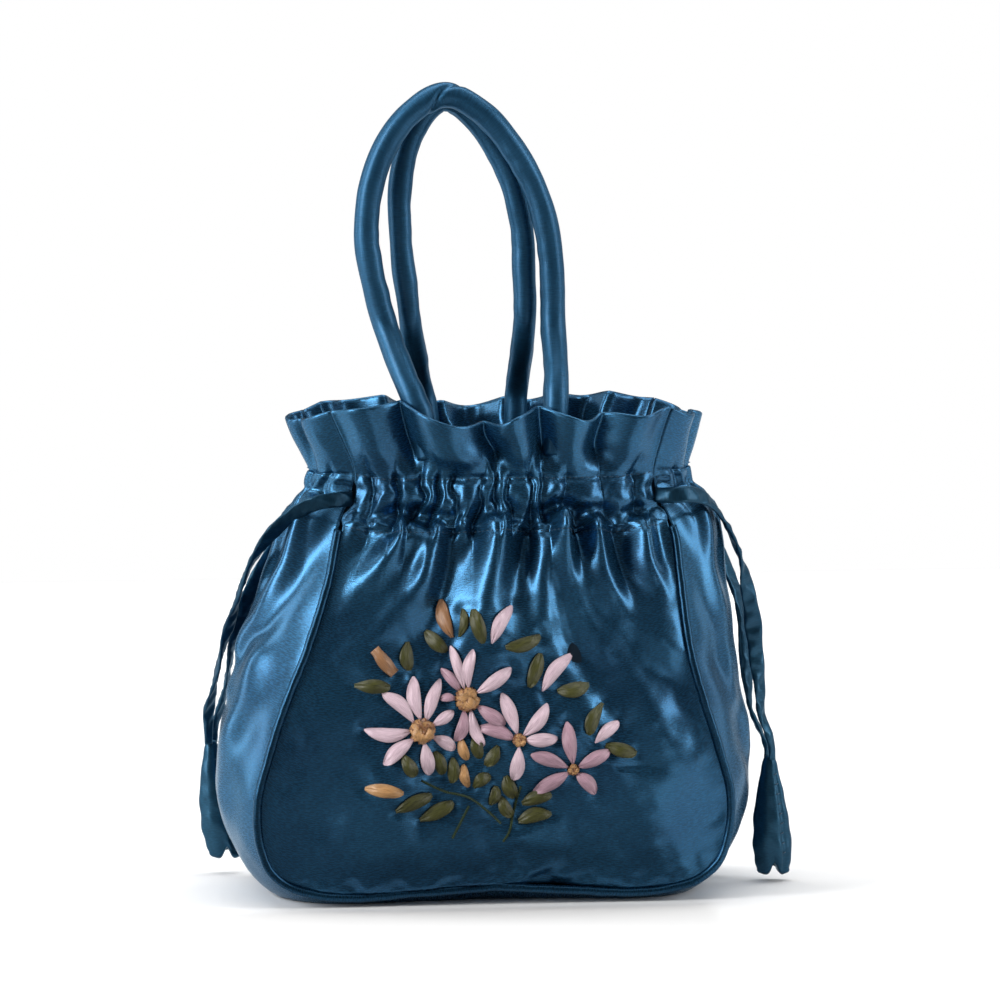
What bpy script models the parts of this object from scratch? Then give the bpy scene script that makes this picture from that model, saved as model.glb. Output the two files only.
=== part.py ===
"""Satin drawstring handbag with two stuffed handles, gathered neck, piped seams and ribbon embroidery.

Units are metres. The origin lies on the surface that the bag stands on, below the middle of the bag.
+Z is up, -Y is the embroidered front and +X is the right-hand side seen from the front.
"""

import math

import bmesh
import bpy
import numpy as np
from mathutils import Vector
from mathutils.bvhtree import BVHTree

# Body of the bag
PANEL_HALF = 0.0985  # widest half-width of a front or back panel, at its piping
HALF_DEPTH = 0.046  # half the depth of the bag, at the piping of its widest part
BODY_HEIGHT = 0.157  # base to the lower stitch row of the casing
CASING_HEIGHT = 0.020  # channel between the two stitch rows
RUFFLE_HEIGHT = 0.026  # frill that stands above the channel
NECK_LEAN = 0.0068  # how far the soft neck leans towards +X
RIM_RETURN = 0.0018  # how far the rim comes back from that lean
CLOTH = 0.0010  # satin with its backing
GAP = 0.0003  # clearance between pieces that touch

# Gathers, folds and frill, as heights from crest to mean surface
GATHER_DEPTH = 0.0014
GATHER_DRIFT = 0.35  # how far the gathers' even spacing wanders, in waves
GATHER_WAVES = 6.5  # crests of the gathers on half a panel
FRILL_DEPTH = 0.0045
FRILL_WAVES = 2.9  # lobes of the frill on half a panel
FRILL_DRIFT = 0.12
FRILL_DIP = 0.0026  # how far the rim dips between its high points, from its mean height
FRILL_DIP_WAVES = 1.15
FOLD_DEPTH = 0.0022
FOLD_WAVES = 2.2  # long folds below the channel on half a panel
FOLD_DRIFT = 0.18
CHANNEL_PUFF = 0.0012
STRIP_SHARE = 0.4  # waves across a side strip, as a share of those across a panel

# Piping, lining, handles and drawcords
PIPING_DIAMETER = 0.0036
PIPING_POINTS = 41
PIPING_GAP = 0.0008  # clearance of the panels to their piping, enough for the straight edges of their mesh
LINING_CLOTH = 0.0008
LINING_EASE = 0.0030  # space between the lining and the satin in the body
CHANNEL_ROOM = 0.0078  # the same at the channel, where a cord runs between the two
HANDLE_DIAMETER = 0.0104
BACK_HANDLE_DIAMETER = 0.0096
HANDLE_SEW_DEPTH = 0.020  # length of handle end that is sewn inside the mouth
CORD_DIAMETER = 0.0050
CHANNEL_CORD_DIAMETER = 0.0030
TASSEL_WIDTH = 0.016
TASSEL_THICKNESS = 0.010
TASSEL_LENGTH = 0.050
TASSEL_NOTCH = 0.10  # depth of the notch in its foot, as a share of its length
LINING_FLOOR_WIDTH = 0.62  # the lining's flat bottom, as shares of its lowest full section
LINING_FLOOR_DEPTH = 0.48
LINING_TURN_WIDTH = 0.86  # the same where its wall turns in to that bottom
LINING_TURN_DEPTH = 0.78

# Ribbon embroidery
RIBBON = 0.0005  # edge thickness of a ribbon loop
RIBBON_CROWN = 0.0006  # how far its middle stands above its edge
PETAL_WIDTH = 0.0062
LEAF_WIDTH = 0.0048
STEM_DIAMETER = 0.0010
LOW_ARCH = 0.0017  # height of a flower's ribbons over the satin, above the leaves
HIGH_ARCH = 0.0033  # the same for the flower that laps over its neighbours
CENTRE_HEIGHT = 0.0032

# Half of a panel's sewn edge, bottom middle to rim: share of PANEL_HALF, level, and how far the side
# strip puffs out beyond it as a share of HALF_DEPTH. Level 0 to 1 is the body, 2 the channel's top, 3 the rim.
PANEL_EDGE = (
    (0.000, 0.048, 0.30),
    (0.350, 0.034, 0.30),
    (0.600, 0.025, 0.30),
    (0.735, 0.033, 0.26),
    (0.883, 0.064, 0.20),
    (0.944, 0.099, 0.185),
    (0.988, 0.172, 0.22),
    (1.000, 0.268, 0.30),
    (0.943, 0.420, 0.39),
    (0.880, 0.541, 0.44),
    (0.818, 0.656, 0.485),
    (0.748, 0.841, 0.465),
    (0.700, 1.000, 0.435),
    (0.655, 1.500, 0.40),
    (0.635, 2.000, 0.36),
    (0.670, 2.500, 0.34),
    (0.720, 3.000, 0.325),
)
EDGE_CORNER = 5  # entry of the list above where the bottom edge turns into the side edge

# Level, depth of the sewn edge and depth of the panel's middle, both as shares of HALF_DEPTH
PANEL_DEPTH = (
    (0.00, 0.90, 0.93),
    (0.12, 0.93, 1.00),
    (0.35, 0.95, 1.06),
    (0.60, 0.90, 1.01),
    (0.85, 0.70, 0.85),
    (1.00, 0.50, 0.74),
    (1.50, 0.42, 0.68),
    (2.00, 0.42, 0.66),
    (2.50, 0.46, 0.74),
    (3.00, 0.50, 0.82),
)

# Mesh rows of a panel or side strip: body, channel and frill
BODY_ROWS = 9
CHANNEL_ROWS = 3
FRILL_ROWS = 4
FRONT_COLUMNS = 38
BACK_COLUMNS = 28
STRIP_COLUMNS = 8
BOTTOM_ROWS = 12

# Handles: side position and height above the rim, from the left end over the crest to the right end
FRONT_HANDLE = (
    (-0.0250, -0.0100),
    (-0.0390, 0.0270),
    (-0.0455, 0.0510),
    (-0.0490, 0.0750),
    (-0.0470, 0.0925),
    (-0.0405, 0.1095),
    (-0.0315, 0.1215),
    (-0.0160, 0.1300),
    (-0.0005, 0.1220),
    (0.0095, 0.1110),
    (0.0178, 0.0980),
    (0.0262, 0.0750),
    (0.0284, 0.0510),
    (0.0288, 0.0270),
    (0.0270, -0.0090),
)
BACK_HANDLE = (
    (-0.0185, -0.0100),
    (-0.0282, 0.0270),
    (-0.0318, 0.0510),
    (-0.0340, 0.0745),
    (-0.0338, 0.0920),
    (-0.0318, 0.1045),
    (-0.0275, 0.1160),
    (-0.0165, 0.1275),
    (-0.0020, 0.1180),
    (0.0100, 0.0990),
    (0.0146, 0.0860),
    (0.0170, 0.0740),
    (0.0181, 0.0510),
    (0.0182, 0.0270),
    (0.0165, -0.0090),
)
HANDLE_MEETING = 0.040  # height above the rim where the two loops lean together

# Free drawcord ends, from the end of the channel to the top of the tassel
CORD_LEFT_FRONT = (
    (-0.0565, -0.0181, 0.1670),
    (-0.0594, -0.0210, 0.1671),
    (-0.0640, -0.0235, 0.1671),
    (-0.0708, -0.0222, 0.1660),
    (-0.0775, -0.0188, 0.1630),
    (-0.0840, -0.0138, 0.1578),
    (-0.0913, -0.0070, 0.1488),
    (-0.0962, 0.0005, 0.1397),
    (-0.1000, 0.0082, 0.1297),
    (-0.1024, 0.0158, 0.1192),
    (-0.1044, 0.0220, 0.1105),
    (-0.1070, 0.0280, 0.1000),
    (-0.1088, 0.0330, 0.0896),
    (-0.1108, 0.0380, 0.0791),
    (-0.1120, 0.0442, 0.0691),
    (-0.1118, 0.0468, 0.0610),
    (-0.1118, 0.0471, 0.0560),
)
CORD_LEFT_BACK = (
    (-0.0565, 0.0181, 0.1670),
    (-0.0594, 0.0210, 0.1669),
    (-0.0648, 0.0236, 0.1652),
    (-0.0735, 0.0232, 0.1578),
    (-0.0830, 0.0212, 0.1465),
    (-0.0910, 0.0197, 0.1345),
    (-0.0968, 0.0228, 0.1215),
    (-0.1010, 0.0290, 0.1070),
    (-0.1028, 0.0350, 0.0975),
    (-0.1036, 0.0410, 0.0890),
    (-0.1044, 0.0462, 0.0805),
    (-0.1062, 0.0500, 0.0720),
    (-0.1091, 0.0516, 0.0610),
    (-0.1092, 0.0519, 0.0560),
)
CORD_RIGHT_FRONT = (
    (0.0701, -0.0181, 0.1670),
    (0.0730, -0.0210, 0.1671),
    (0.0773, -0.0235, 0.1674),
    (0.0835, -0.0222, 0.1675),
    (0.0892, -0.0182, 0.1662),
    (0.0943, -0.0133, 0.1628),
    (0.0992, -0.0090, 0.1570),
    (0.1052, -0.0050, 0.1466),
    (0.1092, -0.0020, 0.1365),
    (0.1117, 0.0000, 0.1269),
    (0.1136, 0.0010, 0.1182),
    (0.1150, 0.0018, 0.1092),
    (0.1163, 0.0018, 0.0964),
    (0.1177, 0.0012, 0.0836),
    (0.1186, 0.0004, 0.0706),
    (0.1214, -0.0002, 0.0630),
    (0.1228, -0.0003, 0.0572),
    (0.1229, -0.0003, 0.0522),
)
CORD_RIGHT_BACK = (
    (0.0701, 0.0181, 0.1670),
    (0.0730, 0.0210, 0.1669),
    (0.0785, 0.0238, 0.1654),
    (0.0870, 0.0224, 0.1580),
    (0.0952, 0.0180, 0.1488),
    (0.1020, 0.0138, 0.1400),
    (0.1066, 0.0112, 0.1296),
    (0.1102, 0.0095, 0.1191),
    (0.1117, 0.0087, 0.1100),
    (0.1127, 0.0085, 0.0961),
    (0.1138, 0.0080, 0.0833),
    (0.1150, 0.0074, 0.0726),
    (0.1192, 0.0060, 0.0628),
    (0.1214, 0.0052, 0.0572),
    (0.1215, 0.0051, 0.0522),
)
LEFT_TASSEL_TOP = (-0.1105, 0.0495, 0.0557)
RIGHT_TASSEL_TOP = (0.1222, 0.0024, 0.0519)

# Flowers: middle of the flower (x, z), radius of its gold centre, arch, and its petals as degrees
# anticlockwise from +X, reach from the middle, and width as a share of PETAL_WIDTH
FLOWERS = {
    "flower_left": (
        (-0.0306, 0.0736),
        0.0055,
        LOW_ARCH,
        (
            (136, 0.0229, 1.0),
            (98, 0.0224, 1.0),
            (69, 0.0225, 0.9),
            (30, 0.0155, 0.8),
            (-30, 0.0159, 0.9),
            (-81, 0.0188, 1.0),
            (-141, 0.0211, 1.0),
            (178, 0.0240, 1.0),
        ),
    ),
    "flower_top": (
        (-0.0117, 0.0862),
        0.0053,
        HIGH_ARCH,
        (
            (130, 0.0166, 0.72),
            (107, 0.0231, 0.72),
            (84, 0.0211, 0.80),
            (36, 0.0223, 1.0),
            (-34, 0.0188, 1.0),
            (-71, 0.0205, 0.8),
            (-107, 0.0182, 0.9),
            (177, 0.0115, 0.6),
        ),
    ),
    "flower_middle": (
        (0.0094, 0.0694),
        0.0034,
        LOW_ARCH,
        ((110, 0.0206, 1.0), (52, 0.0191, 1.0), (3, 0.0158, 1.0), (-98, 0.0173, 1.0), (163, 0.0179, 1.0)),
    ),
    "flower_right": (
        (0.0318, 0.0568),
        0.0032,
        LOW_ARCH,
        ((98, 0.0203, 1.0), (27, 0.0171, 1.0), (-49, 0.0141, 1.0), (-151, 0.0189, 1.0), (159, 0.0192, 1.0)),
    ),
}

# Single ribbon loops: middle (x, z), length, degrees anticlockwise from +X, width as a share
LOOSE_PETALS = (
    ((0.0027, 0.1169), 0.0178, 59, 1.0),
    ((0.0259, 0.0965), 0.0200, 48, 1.0),
    ((0.0459, 0.0719), 0.0135, 39, 0.9),
)
BUDS = (
    ((-0.0197, 0.1192), 0.0161, 105, 0.95),
    ((-0.0457, 0.1022), 0.0135, -51, 0.95),
    ((-0.0134, 0.0663), 0.0110, -75, 0.72),
    ((-0.0125, 0.0546), 0.0100, -77, 0.72),
    ((-0.0466, 0.0494), 0.0162, -7, 0.95),
)
LEAVES = (
    ((-0.0241, 0.1098), 0.0122, -44, 1.0),
    ((-0.0142, 0.1178), 0.0119, 82, 0.6),
    ((-0.0074, 0.1165), 0.0149, -74, 1.0),
    ((0.0113, 0.1098), 0.0158, 15, 1.0),
    ((0.0162, 0.0978), 0.0150, -109, 1.0),
    ((0.0323, 0.0902), 0.0140, 10, 1.0),
    ((-0.0357, 0.1039), 0.0120, -88, 1.0),
    ((-0.0509, 0.0921), 0.0150, -3, 1.0),
    ((-0.0365, 0.0599), 0.0113, -59, 1.0),
    ((-0.0237, 0.0601), 0.0106, -72, 0.9),
    ((-0.0182, 0.0570), 0.0108, -93, 0.85),
    ((-0.0075, 0.0669), 0.0108, -83, 0.9),
    ((-0.0019, 0.0629), 0.0100, -122, 0.9),
    ((-0.0342, 0.0439), 0.0168, 22, 1.0),
    ((-0.0247, 0.0402), 0.0160, 27, 1.0),
    ((-0.0060, 0.0524), 0.0090, 37, 0.9),
    ((-0.0013, 0.0463), 0.0086, 73, 0.8),
    ((0.0058, 0.0496), 0.0105, -67, 1.0),
    ((0.0043, 0.0414), 0.0100, -61, 0.9),
    ((0.0169, 0.0444), 0.0130, 17, 1.0),
    ((0.0161, 0.0368), 0.0144, 12, 1.0),
    ((0.0412, 0.0774), 0.0145, -118, 1.0),
    ((0.0518, 0.0648), 0.0136, -16, 1.0),
)
STEMS = (
    ((-0.0309, 0.0532), (-0.0226, 0.0488), (-0.0108, 0.0454), (-0.0034, 0.0398), (0.0018, 0.0348)),
    ((-0.0115, 0.0424), (-0.0144, 0.0366), (-0.0184, 0.0290)),
    ((0.0051, 0.0330), (0.0044, 0.0298), (0.0027, 0.0272)),
)

SATIN = ("satin", (0.022, 0.115, 0.190), 0.34, 0.55)
SATIN_LINING = ("lining", (0.010, 0.036, 0.070), 0.55, 0.0)
CORD_SATIN = ("cord_satin", (0.013, 0.062, 0.110), 0.40, 0.45)
PINK = ("pink_ribbon", (0.80, 0.60, 0.69), 0.36, 0.0)
OLIVE = ("olive_ribbon", (0.050, 0.056, 0.014), 0.36, 0.0)
GOLD = ("gold_ribbon", (0.58, 0.34, 0.15), 0.38, 0.0)
THREAD = ("green_thread", (0.035, 0.060, 0.018), 0.60, 0.0)


def clear_scene():
    for obj in list(bpy.data.objects):
        bpy.data.objects.remove(obj, do_unlink=True)


def material(finish):
    name, colour, roughness, metallic = finish
    found = bpy.data.materials.get(name)
    if found:
        return found
    made = bpy.data.materials.new(name)
    made.use_nodes = True
    shader = made.node_tree.nodes["Principled BSDF"]
    shader.inputs["Base Color"].default_value = (*colour, 1.0)
    shader.inputs["Roughness"].default_value = roughness
    shader.inputs["Metallic"].default_value = metallic
    return made


def smooth(stations, values, at):
    """A cubic curve through the values, read at one or more stations."""
    s = np.asarray(stations, float)
    p = np.asarray(values, float).reshape(len(s), -1)
    slope = np.gradient(p, s, axis=0)
    at = np.clip(np.atleast_1d(np.asarray(at, float)), s[0], s[-1])
    i = np.clip(np.searchsorted(s, at, side="right") - 1, 0, len(s) - 2)
    span = (s[i + 1] - s[i])[:, None]
    t = (at - s[i])[:, None] / span
    start = (2 * t**3 - 3 * t**2 + 1) * p[i] + (t**3 - 2 * t**2 + t) * span * slope[i]
    end = (3 * t**2 - 2 * t**3) * p[i + 1] + (t**3 - t**2) * span * slope[i + 1]
    return start + end


def chord_stations(points):
    steps = np.linalg.norm(np.diff(np.asarray(points, float), axis=0), axis=1)
    return np.concatenate(([0.0], np.cumsum(steps)))


def even_points(points, count):
    """Evenly spaced points on the smooth curve through a route's own points."""
    stations = chord_stations(points)
    return smooth(stations, points, np.linspace(0, stations[-1], count))


def ramp(low, high, value):
    t = min(1.0, max(0.0, (value - low) / (high - low)))
    return t * t * (3 - 2 * t)


def height_at(level):
    """Height of a level: the body up to 1, the channel up to 2 and the frill up to 3."""
    body = min(level, 1.0) * BODY_HEIGHT
    channel = min(max(level - 1.0, 0.0), 1.0) * CASING_HEIGHT
    frill = max(level - 2.0, 0.0) * RUFFLE_HEIGHT
    return body + channel + frill


def lean(level):
    """Sideways shift of the bag at a level: the soft upper part leans to one side."""
    return NECK_LEAN * ramp(0.5, 1.0, level) - RIM_RETURN * ramp(2.0, 3.0, level)


RIM_HEIGHT = height_at(3.0)
EDGE_XL = np.array([(PANEL_HALF * x, level) for x, level, _ in PANEL_EDGE])
EDGE_XZ = np.array([(x, height_at(level)) for x, level in EDGE_XL])
EDGE_STATIONS = chord_stations(EDGE_XZ)
CORNER_STATION = EDGE_STATIONS[EDGE_CORNER]


def edge_at(station):
    """Sewn edge of a panel: x, level, side puff, and the edge's outward direction in the XZ plane."""
    rows = [(x, level, puff * HALF_DEPTH) for (x, level), (_, _, puff) in zip(EDGE_XL, PANEL_EDGE)]
    x, level, puff = smooth(EDGE_STATIONS, rows, station)[0]
    step = 0.001
    before = smooth(EDGE_STATIONS, EDGE_XZ, station - step)[0]
    after = smooth(EDGE_STATIONS, EDGE_XZ, station + step)[0]
    along = (after - before) / np.linalg.norm(after - before)
    return x, level, puff, np.array([along[1], -along[0]])


def station_of_level(level):
    stations = np.linspace(CORNER_STATION, EDGE_STATIONS[-1], 400)
    levels = smooth(EDGE_STATIONS, EDGE_XL, stations)[:, 1]
    return float(np.interp(level, levels, stations))


def depths(level):
    seam, middle = smooth([r[0] for r in PANEL_DEPTH], [r[1:] for r in PANEL_DEPTH], level)[0]
    return seam * HALF_DEPTH, middle * HALF_DEPTH


def seam_clearance(level):
    """How far the cloth stops short of the seam line: piping below, a cord's slit, then a closed seam."""
    piping = PIPING_DIAMETER / 2 + PIPING_GAP
    slit = CORD_DIAMETER / 2 + 2 * GAP
    closed = 2 * GAP
    to_slit = ramp(1.0, 1.25, level)
    to_closed = ramp(1.8, 2.1, level)
    return (piping * (1 - to_slit) + slit * to_slit) * (1 - to_closed) + closed * to_closed


def pleat(u, level, phase):
    """Outward height of the gathers, the frill and the long folds, u running from -1 to 1 over a piece."""
    turn = 2 * math.pi
    gathers = math.sin(turn * (GATHER_WAVES * u + GATHER_DRIFT * math.sin(4 * u + phase)) + phase)
    frill = math.cos(turn * (FRILL_WAVES * u + FRILL_DRIFT * math.sin(5 * u)) + phase)
    folds = math.sin(turn * (FOLD_WAVES * u + FOLD_DRIFT * math.sin(3 * u)) + 0.7 * phase)
    gather_share = ramp(0.90, 1.0, level) * (1 - 0.7 * ramp(2.0, 2.4, level))
    frill_share = ramp(2.0, 3.0, level)
    fold_share = ramp(0.72, 0.95, level) * (1 - ramp(0.98, 1.1, level))
    puff = CHANNEL_PUFF * math.sin(math.pi * min(1.0, max(0.0, level - 1.0)))
    wave = GATHER_DEPTH * gathers * gather_share + FRILL_DEPTH * frill * frill_share
    return (wave + FOLD_DEPTH * folds * fold_share + puff) * (1 - u**6) ** 2


def rim_dip(u, phase):
    """The rim is not level: it dips between the lobes of the frill."""
    wave = math.cos(2 * math.pi * FRILL_DIP_WAVES * u + 0.94 + phase)
    return FRILL_DIP * (wave - 1) * (1 - abs(u) ** 6)


def side_levels():
    """Levels of the mesh rows up a side, from the panel's corner to its rim."""
    corner = PANEL_EDGE[EDGE_CORNER][1]
    body = [corner + (1 - corner) * i / BODY_ROWS for i in range(BODY_ROWS)]
    channel = [1 + i / CHANNEL_ROWS for i in range(CHANNEL_ROWS)]
    frill = [2 + i / FRILL_ROWS for i in range(FRILL_ROWS + 1)]
    return body + channel + frill


def level_of_height(z):
    levels = np.linspace(0, 3, 301)
    return float(np.interp(z, [height_at(v) for v in levels], levels))


def panel_point(u, row_level, phase, back):
    """A point on a panel: u across from -1 to 1, row_level the level of its mesh row at the side seam."""
    side = 1 if u >= 0 else -1
    cx, corner_level, _, corner_out = edge_at(CORNER_STATION)
    corner_x = cx - corner_out[0] * seam_clearance(corner_level)
    corner_z = height_at(corner_level) - corner_out[1] * seam_clearance(corner_level)
    sx, level, _, out = edge_at(station_of_level(row_level))
    side_x = sx - out[0] * seam_clearance(level)
    side_z = height_at(row_level) - out[1] * seam_clearance(level)
    bx, bottom_level, _, bottom_out = edge_at(abs(u) * CORNER_STATION)
    bottom_x = bx - bottom_out[0] * seam_clearance(bottom_level)
    bottom_z = height_at(bottom_level) - bottom_out[1] * seam_clearance(bottom_level)
    low = (RIM_HEIGHT - side_z) / (RIM_HEIGHT - corner_z)
    x = abs(u) * side_x + low * (bottom_x - abs(u) * corner_x)
    z = side_z + low * (bottom_z - corner_z)
    true_level = level_of_height(z)
    seam, middle = depths(true_level)
    bulge = (middle - seam) * (1 - u * u) * ramp(-0.05, 0.12, row_level - corner_level)
    y = -(seam + bulge + pleat(u, row_level, phase))
    z += rim_dip(u, phase) * ramp(2.2, 3.0, row_level)
    return Vector((side * x + lean(true_level), -y if back else y, z))


def link(obj, finish):
    bpy.context.scene.collection.children["drawstring_handbag"].objects.link(obj)
    obj.data.materials.append(material(finish))
    return obj


def mesh_object(name, bm, finish):
    bmesh.ops.recalc_face_normals(bm, faces=bm.faces)
    mesh = bpy.data.meshes.new(name)
    bm.to_mesh(mesh)
    bm.free()
    mesh.shade_smooth()
    return link(bpy.data.objects.new(name, mesh), finish)


def thicken(obj, thickness):
    """Gives an open sheet its thickness, on the side that its faces turn away from."""
    solid = obj.modifiers.new("cloth", "SOLIDIFY")
    solid.thickness = thickness
    solid.offset = -1
    solid.use_even_offset = False
    return obj


def grid(columns, rows, place):
    """A sheet whose grid points are placed by a function of their column and row."""
    bm = bmesh.new()
    bmesh.ops.create_grid(bm, x_segments=columns, y_segments=rows, size=1.0)
    for vert in bm.verts:
        column = round((vert.co.x + 1) / 2 * columns)
        row = round((vert.co.y + 1) / 2 * rows)
        vert.co = place(column, row)
    return bm


def face_outward(bm, outward):
    """Turns a sheet's faces so that the first one looks along the given direction."""
    bmesh.ops.recalc_face_normals(bm, faces=bm.faces)
    bm.faces.ensure_lookup_table()
    bm.normal_update()
    middle = bm.faces[len(bm.faces) // 2]
    if middle.normal.dot(outward(middle.calc_center_median())) < 0:
        bmesh.ops.reverse_faces(bm, faces=bm.faces)


def sheet_object(name, bm, finish, outward, thickness):
    face_outward(bm, outward)
    mesh = bpy.data.meshes.new(name)
    bm.to_mesh(mesh)
    bm.free()
    mesh.shade_smooth()
    return thicken(link(bpy.data.objects.new(name, mesh), finish), thickness)


def make_panel(name, columns, phase, back):
    levels = side_levels()

    def place(column, row):
        return panel_point(2 * column / columns - 1, levels[row], phase, back)

    bm = grid(columns, len(levels) - 1, place)
    way = Vector((0, 1 if back else -1, 0))
    return sheet_object(name, bm, SATIN, lambda _: way, CLOTH)


def strip_stations():
    """Stations along the whole U of the side strip, from the left rim round the bottom to the right rim."""
    side = [station_of_level(level) for level in side_levels()]
    bottom = [CORNER_STATION * i / (BOTTOM_ROWS / 2) for i in range(int(BOTTOM_ROWS / 2))]
    right = bottom + side
    left = [-s for s in reversed(right[1:])]
    return left + right


def strip_point(station, across):
    """A point on the side strip: signed station along the U, across from -1 at the front to 1 at the back."""
    side = 1 if station >= 0 else -1
    x, level, puff, out = edge_at(abs(station))
    seam, _ = depths(level)
    half = seam - seam_clearance(level)
    z = height_at(level)
    wave = 0.0
    if abs(station) > CORNER_STATION:
        wave = pleat(across * STRIP_SHARE, level, 2.1 + side) * (1 - across * across) ** 2
    swell = puff * (1 - across * across) + wave
    x = side * (x + out[0] * swell) + lean(level)
    return Vector((x, across * half, max(0.0, z + out[1] * swell)))


def make_gusset():
    stations = strip_stations()

    def place(column, row):
        return strip_point(stations[row], 2 * column / STRIP_COLUMNS - 1)

    bm = grid(STRIP_COLUMNS, len(stations) - 1, place)
    middle = Vector((0, 0, BODY_HEIGHT / 2))
    return sheet_object("gusset", bm, SATIN, lambda point: point - middle, CLOTH)


def tube(name, points, diameter, sides_step, finish):
    """A round tube with closed ends along a route, on a poly spline."""
    curve = bpy.data.curves.new(name, "CURVE")
    curve.dimensions = "3D"
    curve.bevel_depth = diameter / 2
    curve.bevel_resolution = sides_step
    curve.use_fill_caps = True
    spline = curve.splines.new("POLY")
    spline.points.add(len(points) - 1)
    for spline_point, point in zip(spline.points, points):
        spline_point.co = (*point, 1.0)
    return link(bpy.data.objects.new(name, curve), finish)


def make_piping(name, back):
    """Cord-filled piping in the seam, from the channel's foot down one side, under and up the other."""
    top = station_of_level(0.97)
    points = []
    for station in np.linspace(-top, top, PIPING_POINTS):
        x, level, _, _ = edge_at(abs(station))
        seam, _ = depths(level)
        x = math.copysign(x, station) + lean(level)
        points.append((x, seam if back else -seam, height_at(level)))
    return tube(name, points, PIPING_DIAMETER, 1, SATIN)


def lining_ring(level, ease, count):
    """An oval section of the lining, clear of the satin by the given ease."""
    x, _, puff, _ = edge_at(station_of_level(level))
    _, middle = depths(level)
    half_width = x + puff - CLOTH - ease
    half_depth = middle - CLOTH - ease
    fullness = 2 / 2.3
    ring = []
    for i in range(count):
        turn = 2 * math.pi * i / count
        c, s = math.cos(turn), math.sin(turn)
        ring.append(
            Vector((
                half_width * math.copysign(abs(c) ** fullness, c) + lean(level),
                half_depth * math.copysign(abs(s) ** fullness, s),
                height_at(level),
            ))
        )
    return ring


def make_lining():
    """A loose inner bag: its flat bottom lies on the side strip, its mouth is sewn in below the frill."""
    around = 24
    top_level = 1.9
    body_levels = (0.30, 0.45, 0.62, 0.80)
    rings = [lining_ring(level, LINING_EASE, around) for level in body_levels]
    rings += [lining_ring(level, CHANNEL_ROOM, around) for level in (1.0, 1.45, top_level)]
    floor = CLOTH + GAP
    first = rings[0]
    turn = [Vector((p.x * LINING_TURN_WIDTH, p.y * LINING_TURN_DEPTH, height_at(0.14))) for p in first]
    bottom = [Vector((p.x * LINING_FLOOR_WIDTH, p.y * LINING_FLOOR_DEPTH, floor)) for p in first]
    bm = bmesh.new()
    loops = [[bm.verts.new(p) for p in ring] for ring in [bottom, turn, *rings]]
    for lower, upper in zip(loops, loops[1:]):
        for i in range(around):
            j = (i + 1) % around
            bm.faces.new((lower[i], lower[j], upper[j], upper[i]))
    bm.faces.new(list(reversed(loops[0])))
    middle = Vector((0, 0, BODY_HEIGHT / 2))
    return sheet_object("lining", bm, SATIN_LINING, lambda point: point - middle, LINING_CLOTH)


def channel_cord(name, back):
    """The hidden run of a drawcord, between the satin and the lining, along one panel's channel."""
    level = 1.5
    x, _, _, _ = edge_at(station_of_level(level))
    seam, middle = depths(level)
    inward = CLOTH + GATHER_DEPTH + GAP + CHANNEL_CORD_DIAMETER / 2
    reach = x - seam_clearance(level) - CHANNEL_CORD_DIAMETER
    points = []
    for u in np.linspace(-1, 1, 24):
        y = seam + (middle - seam) * (1 - (u * reach / x) ** 2) - inward
        points.append((u * reach + lean(level), y if back else -y, height_at(level)))
    return tube(name, points, CHANNEL_CORD_DIAMETER, 2, CORD_SATIN)


def surface_of(*names):
    """A ray-cast tree of the finished meshes of some pieces."""
    depsgraph = bpy.context.evaluated_depsgraph_get()
    bm = bmesh.new()
    for name in names:
        mesh = bpy.data.objects[name].evaluated_get(depsgraph).to_mesh()
        bm.from_mesh(mesh)
    tree = BVHTree.FromBMesh(bm)
    bm.free()
    return tree


def wall_seat(wall, x, way, radius):
    """How far from the middle plane a round handle end may lie before it meets the inside of its panel."""
    seats = []
    for reach in np.linspace(-radius, radius, 9):
        for depth in np.linspace(0, HANDLE_SEW_DEPTH, 5):
            start = Vector((x + reach, 0, RIM_HEIGHT - depth))
            hit, _, _, distance = wall.ray_cast(start, Vector((0, way, 0)))
            if hit:
                seats.append(distance - math.sqrt(radius * radius - reach * reach))
    return min(seats, default=0.0) - GAP


def make_handle(name, route, diameter, back, wall):
    """A stuffed tube: both ends are sewn against the inside of its panel, and it leans to the other loop."""
    way = 1 if back else -1
    radius = diameter / 2
    lean = radius + GAP / 2
    points = []
    for x, z in even_points(route, 29):
        seat = max(lean, wall_seat(wall, x, way, radius))
        lifted = ramp(0.0, HANDLE_MEETING, z)
        points.append((x, way * (seat * (1 - lifted) + lean * lifted), RIM_HEIGHT + z))
    for end in (0, -1):
        x, y, _ = points[end]
        points[end] = (x, y, RIM_HEIGHT - HANDLE_SEW_DEPTH)
    return tube(name, points, diameter, 3, SATIN)


def make_tassel(name, top):
    """A stuffed satin leaf: narrow at the cord, full and lightly notched at its foot."""
    bm = bmesh.new()
    bmesh.ops.create_uvsphere(bm, u_segments=12, v_segments=10, radius=1.0)
    for vert in bm.verts:
        down = (1 - vert.co.z) / 2
        full = 0.42 + 0.75 * down**0.8
        notch = TASSEL_NOTCH * ramp(0.6, 1.0, down) * math.exp(-((vert.co.x / 0.25) ** 2))
        vert.co.x *= TASSEL_WIDTH / 2 * min(1.0, full)
        vert.co.y *= TASSEL_THICKNESS / 2 * min(1.0, full)
        vert.co.z = (notch - down) * TASSEL_LENGTH
    obj = mesh_object(name, bm, CORD_SATIN)
    obj.location = top
    return obj


class Satin:
    """The front panel's surface, on which the ribbons lie."""

    def __init__(self):
        self.tree = surface_of("front_panel")

    def at(self, x, z, lift):
        hit, _, _, _ = self.tree.ray_cast(Vector((x, -4 * HALF_DEPTH, z)), Vector((0, 1, 0)))
        return hit - Vector((0, lift, 0))


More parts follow.
